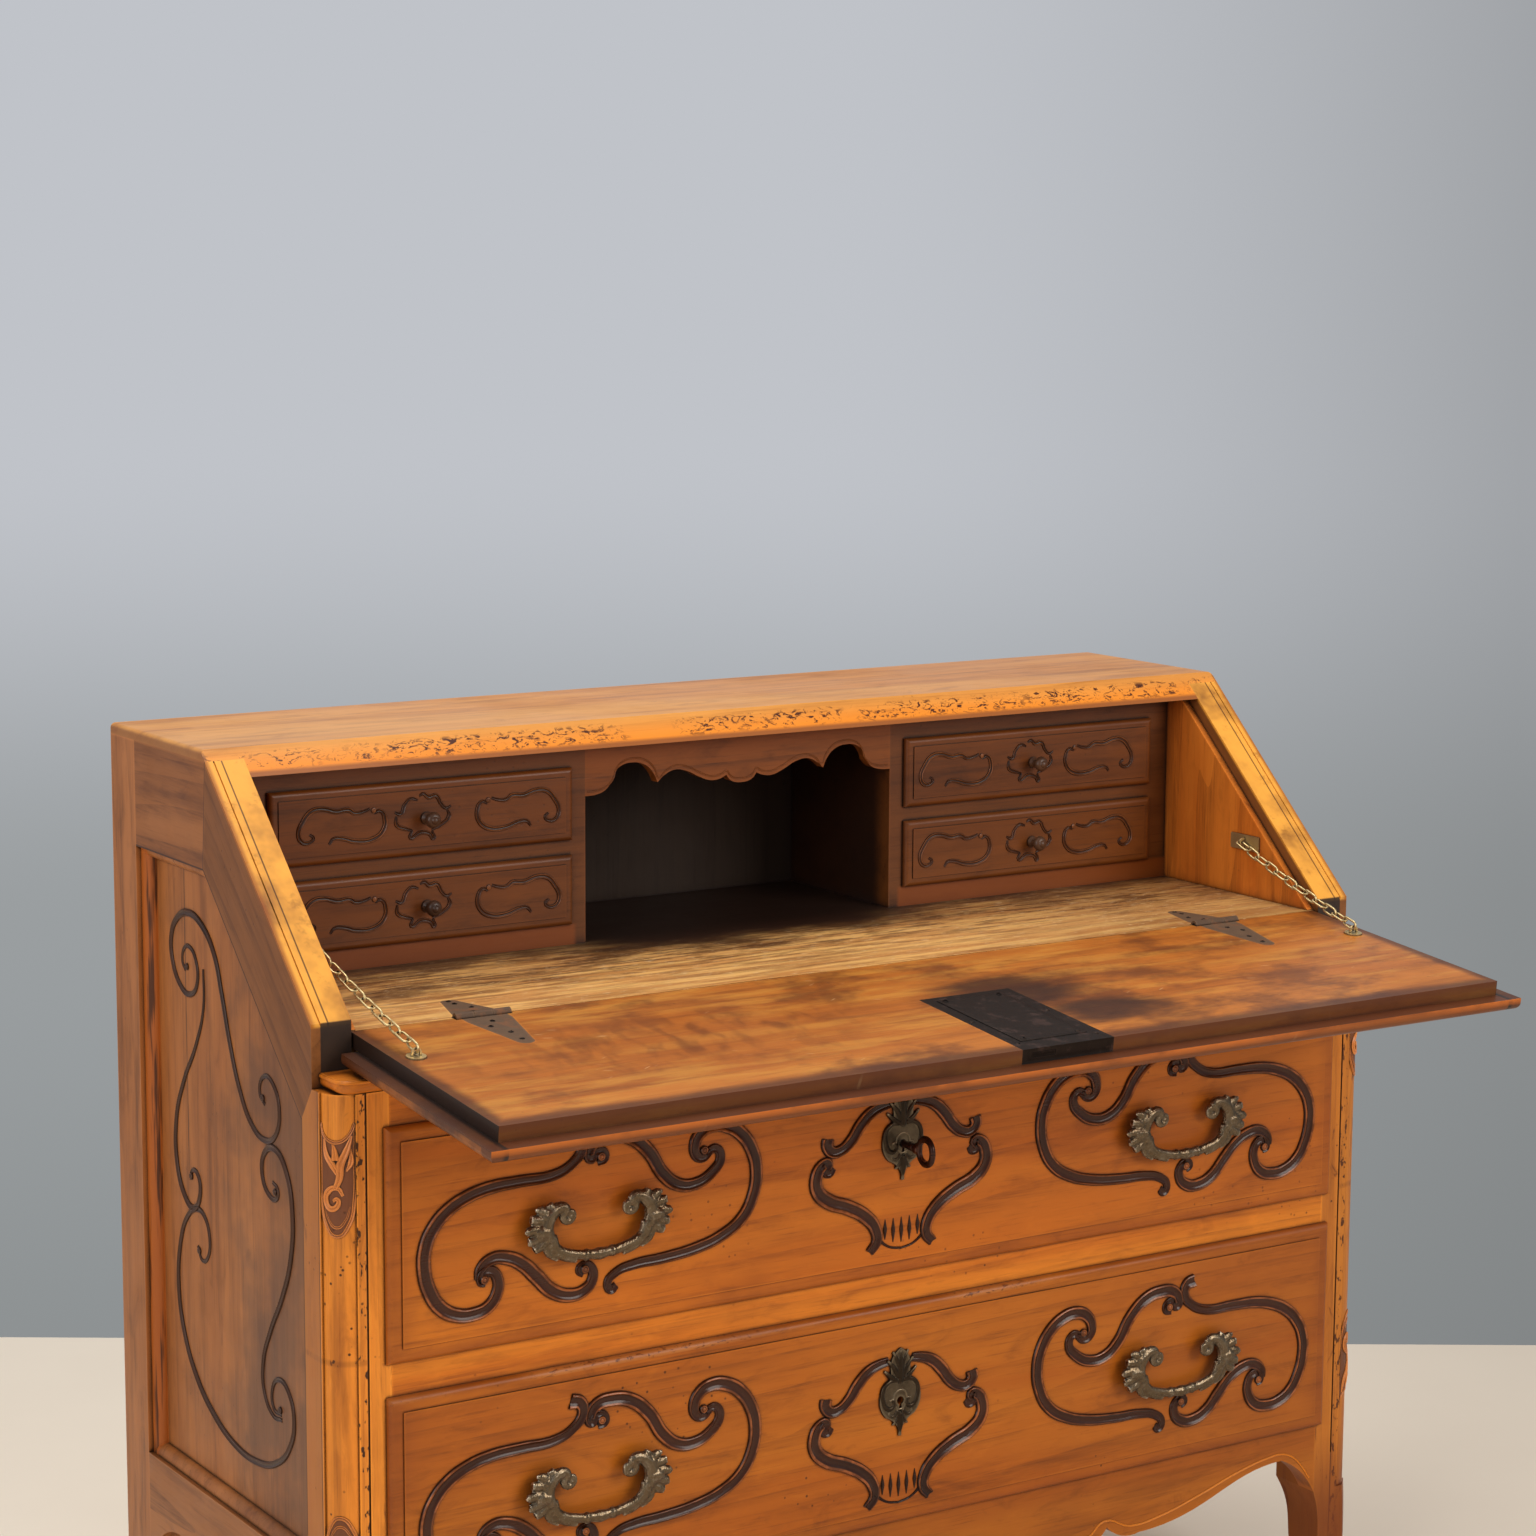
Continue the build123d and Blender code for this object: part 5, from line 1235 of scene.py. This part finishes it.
# %% Valance
HALF_SCALLOPS = [(0, 908.2), (8, 909), (14, 912), (18, 917), (25, 914), (37, 913), (50, 917.5), (66, 925),
                 (80, 927), (92, 922), (99.5, 915.8), (104, 925), (113, 934), (128, 938), (143, 935),
                 (150.5, 927), (153, 919.5), (160, 912.5), (169, 909), (183, 908)]
CUSPS = [(18, 917), (99.5, 915.8), (153, 919.5), (183, 908), (183, 962)]
scallops = [(-x, z) for x, z in reversed(HALF_SCALLOPS[1:])] + HALF_SCALLOPS
cusps = CUSPS + [(-x, z) for x, z in CUSPS]
middle_y, face_y = 0.17431, 0.1684
board = laid(filled(scallops + [(183, 962), (-183, 962)], 6.0, cusps), on_front(0, middle_y, 0))
bead = band([(x * 0.985, z + 4.2) for x, z in scallops], small_cut, (0.5, 0.5), 5)
ship(whole("scalloped_valance", [board, laid(bead, on_front(0, face_y, 0))]), "carcase", "desk_wood",
     nest_wood, "nest_valance")

# %% [markdown]
# ## A bead along the apron
# The apron's lower edge swings in arches between the feet, and the joiner ran
# a thin bead along it. It is one more band along a line, a little inside the
# edge.

# %% Apron bead
HALF_APRON = [(0, 120), (80, 124), (170, 139), (206, 141), (240, 139.5), (262, 153.5), (296, 142), (335, 145),
              (385, 157), (440, 173), (480, 180.5), (498, 181), (512, 176), (526, 163), (537, 148)]
apron_y, above_edge = -0.1176, 7
for hand, side in SIDES.items():
    bead = band([(x, z + above_edge) for x, z in HALF_APRON], small_cut, (0.7, 0.7), 5)
    bead = whole(f"{hand}_apron_bead", [laid(bead, on_front(0, apron_y, 0, side))])
    ship(bead, "carcase", "case_wood", rail_wood)

# %% [markdown]
# ## Mouldings of the post caps
# Each cap is a small block with three steps worn almost round. The block is
# in the model; two thin beads laid round its corner give the steps.

# %% Cap beads
for hand, side in SIDES.items():
    parts = []
    for inset, z, size in ((0.6, 725.6, 2.0), (2.6, 720.2, 1.6)):
        x, y = 592 - inset, -121.7 + inset
        path = [(x, -80.5, z), (x, -95, z), (x, y + 15, z), (x - 4.2, y + 4.2, z), (x - 15, y, z),
                (x - 30, y, z), (546, y, z)]
        parts.append(laid(band(path, size), Matrix.Diagonal((side * 0.001, 0.001, 0.001, 1))))
    ship(whole(f"{hand}_cap_beads", parts, 60), "carcase", "case_wood", rail_wood)

# %% [markdown]
# ## Lock cover, key bow, nails and rivets
# The fall's lock is let in flush and has a raised cover riveted on it. Hand-cut
# nails hold the hinges. A nail head is a low, faceted dome with a slightly
# different turn each time, and one is modelled and copied. On the fall they
# are placed in the fall's own measures: across, and down from the hinge line.
# The key's bow is a ring of wire, on a stem that swells at a collar.

# %% Fall fittings
at_hinge = Matrix.Translation((0, hinge_y, hinge_z))
fall_frame = at_hinge @ Matrix.Rotation(fall_tilt, 4, "X") @ Matrix.Diagonal((0.001, -0.001, 0.001, 1))
bed_frame = at_hinge @ Matrix.Scale(0.001, 4)


def pick_upward(least):
    """In edit mode, selects the faces that look up."""
    mesh = bpy.context.object.data
    shape = bmesh.from_edit_mesh(mesh)
    for face in shape.faces:
        face.select = face.normal.z > least
    shape.select_flush_mode()
    bmesh.update_edit_mesh(mesh)


def nail(radius, rise):
    """The faceted head of a forged nail, in millimetres, with its foot sunk in."""
    pick_none()
    bpy.ops.mesh.primitive_cylinder_add(vertices=9, radius=radius, depth=1, location=(0, 0, -0.5),
                                        end_fill_type="NGON", enter_editmode=True)
    pick_upward(0.9)
    for share, shrink in ((0.6, 0.8), (0.4, 0.5)):
        bpy.ops.mesh.extrude_region_move(TRANSFORM_OT_translate={"value": (0, 0, rise * share)})
        bpy.ops.transform.resize(value=(shrink, shrink, 1), center_override=(0, 0, 0))
    return settled()


def scatter(head, spots, frame_of):
    """Copies of one head at each spot, each turned a little further."""
    heads = [laid(copied(head, "head"),
                  frame_of @ Matrix.Translation(at) @ Matrix.Rotation(number * 0.7, 4, "Z"))
             for number, at in enumerate(spots)]
    bpy.data.objects.remove(head)
    return heads


turns = [math.radians(degrees) for degrees in range(0, 361, 30)]
bow_line = [(math.cos(turn) * 11.2, math.sin(turn) * 12.6, 0) for turn in turns]
bow_y = -0.1655
out_of_lock = Matrix(((0, 0, 0.001, 0), (-0.001, 0, 0, bow_y), (0, 0.001, 0, KEY_Z["upper"]), (0, 0, 0, 1)))
parts = [band(bow_line, 3.1), band([(-11, 0, 0), (-16, 0, 0), (-20, 0, 0)], 4.6, (0.9, 1.2, 0.7)),
         band([(-19, 0, 0), (-39, 0, 0)], 3.6)]
ship(whole("key_bow", [laid(part, out_of_lock) for part in parts], 180), "key", "iron", key_iron)

middle = (27, 190, 0.2)
pick_none()
bpy.ops.mesh.primitive_cube_add(size=1, location=middle, enter_editmode=True)
bpy.ops.transform.resize(value=(76, 134, 1.6), center_override=middle)
bpy.ops.mesh.bevel(offset=0.6, segments=2, affect="EDGES")
pick_upward(0.95)
bpy.ops.mesh.inset(thickness=7)
bpy.ops.transform.translate(value=(0, 0, -0.5))
cover = laid(settled(), fall_frame)
RIVETS = [(-4, 128, 1.0), (58, 128, 1.0), (-4, 252, 1.0), (58, 252, 1.0), (-17, 190, 0.0), (72, 186, 0.0),
          (72, 262, 0.0), (-17, 262, 0.0)]
ship(whole("fall_lock_cover", [cover, *scatter(nail(3.0, 1.0), RIVETS, fall_frame)], 30), "fall", "iron", iron)

FALL_NAILS = [(427, 20), (436, 34), (427, 55), (427, 76)]
BED_NAILS = [(427, 18), (420, 34), (427, 54), (427, 66)]
for name, body, half, frame_of in (("fall_leaf_nails", "fall", FALL_NAILS, fall_frame),
                                   ("bed_leaf_nails", "carcase", BED_NAILS, bed_frame)):
    spots = [(side * x, y, 0.2) for side in (-1, 1) for x, y in half]
    ship(whole(name, scatter(nail(2.6, 0.8), spots, frame_of), 20), body, "iron", iron)

# %% [markdown]
# ## Close the scene
# The sections that the bands were run with are scaffolding, and go.

# %% Remove the scaffolding
for cut in (wide_cut, fine_cut, small_cut, nest_cut, leaf_cut):
    bpy.data.objects.remove(cut)
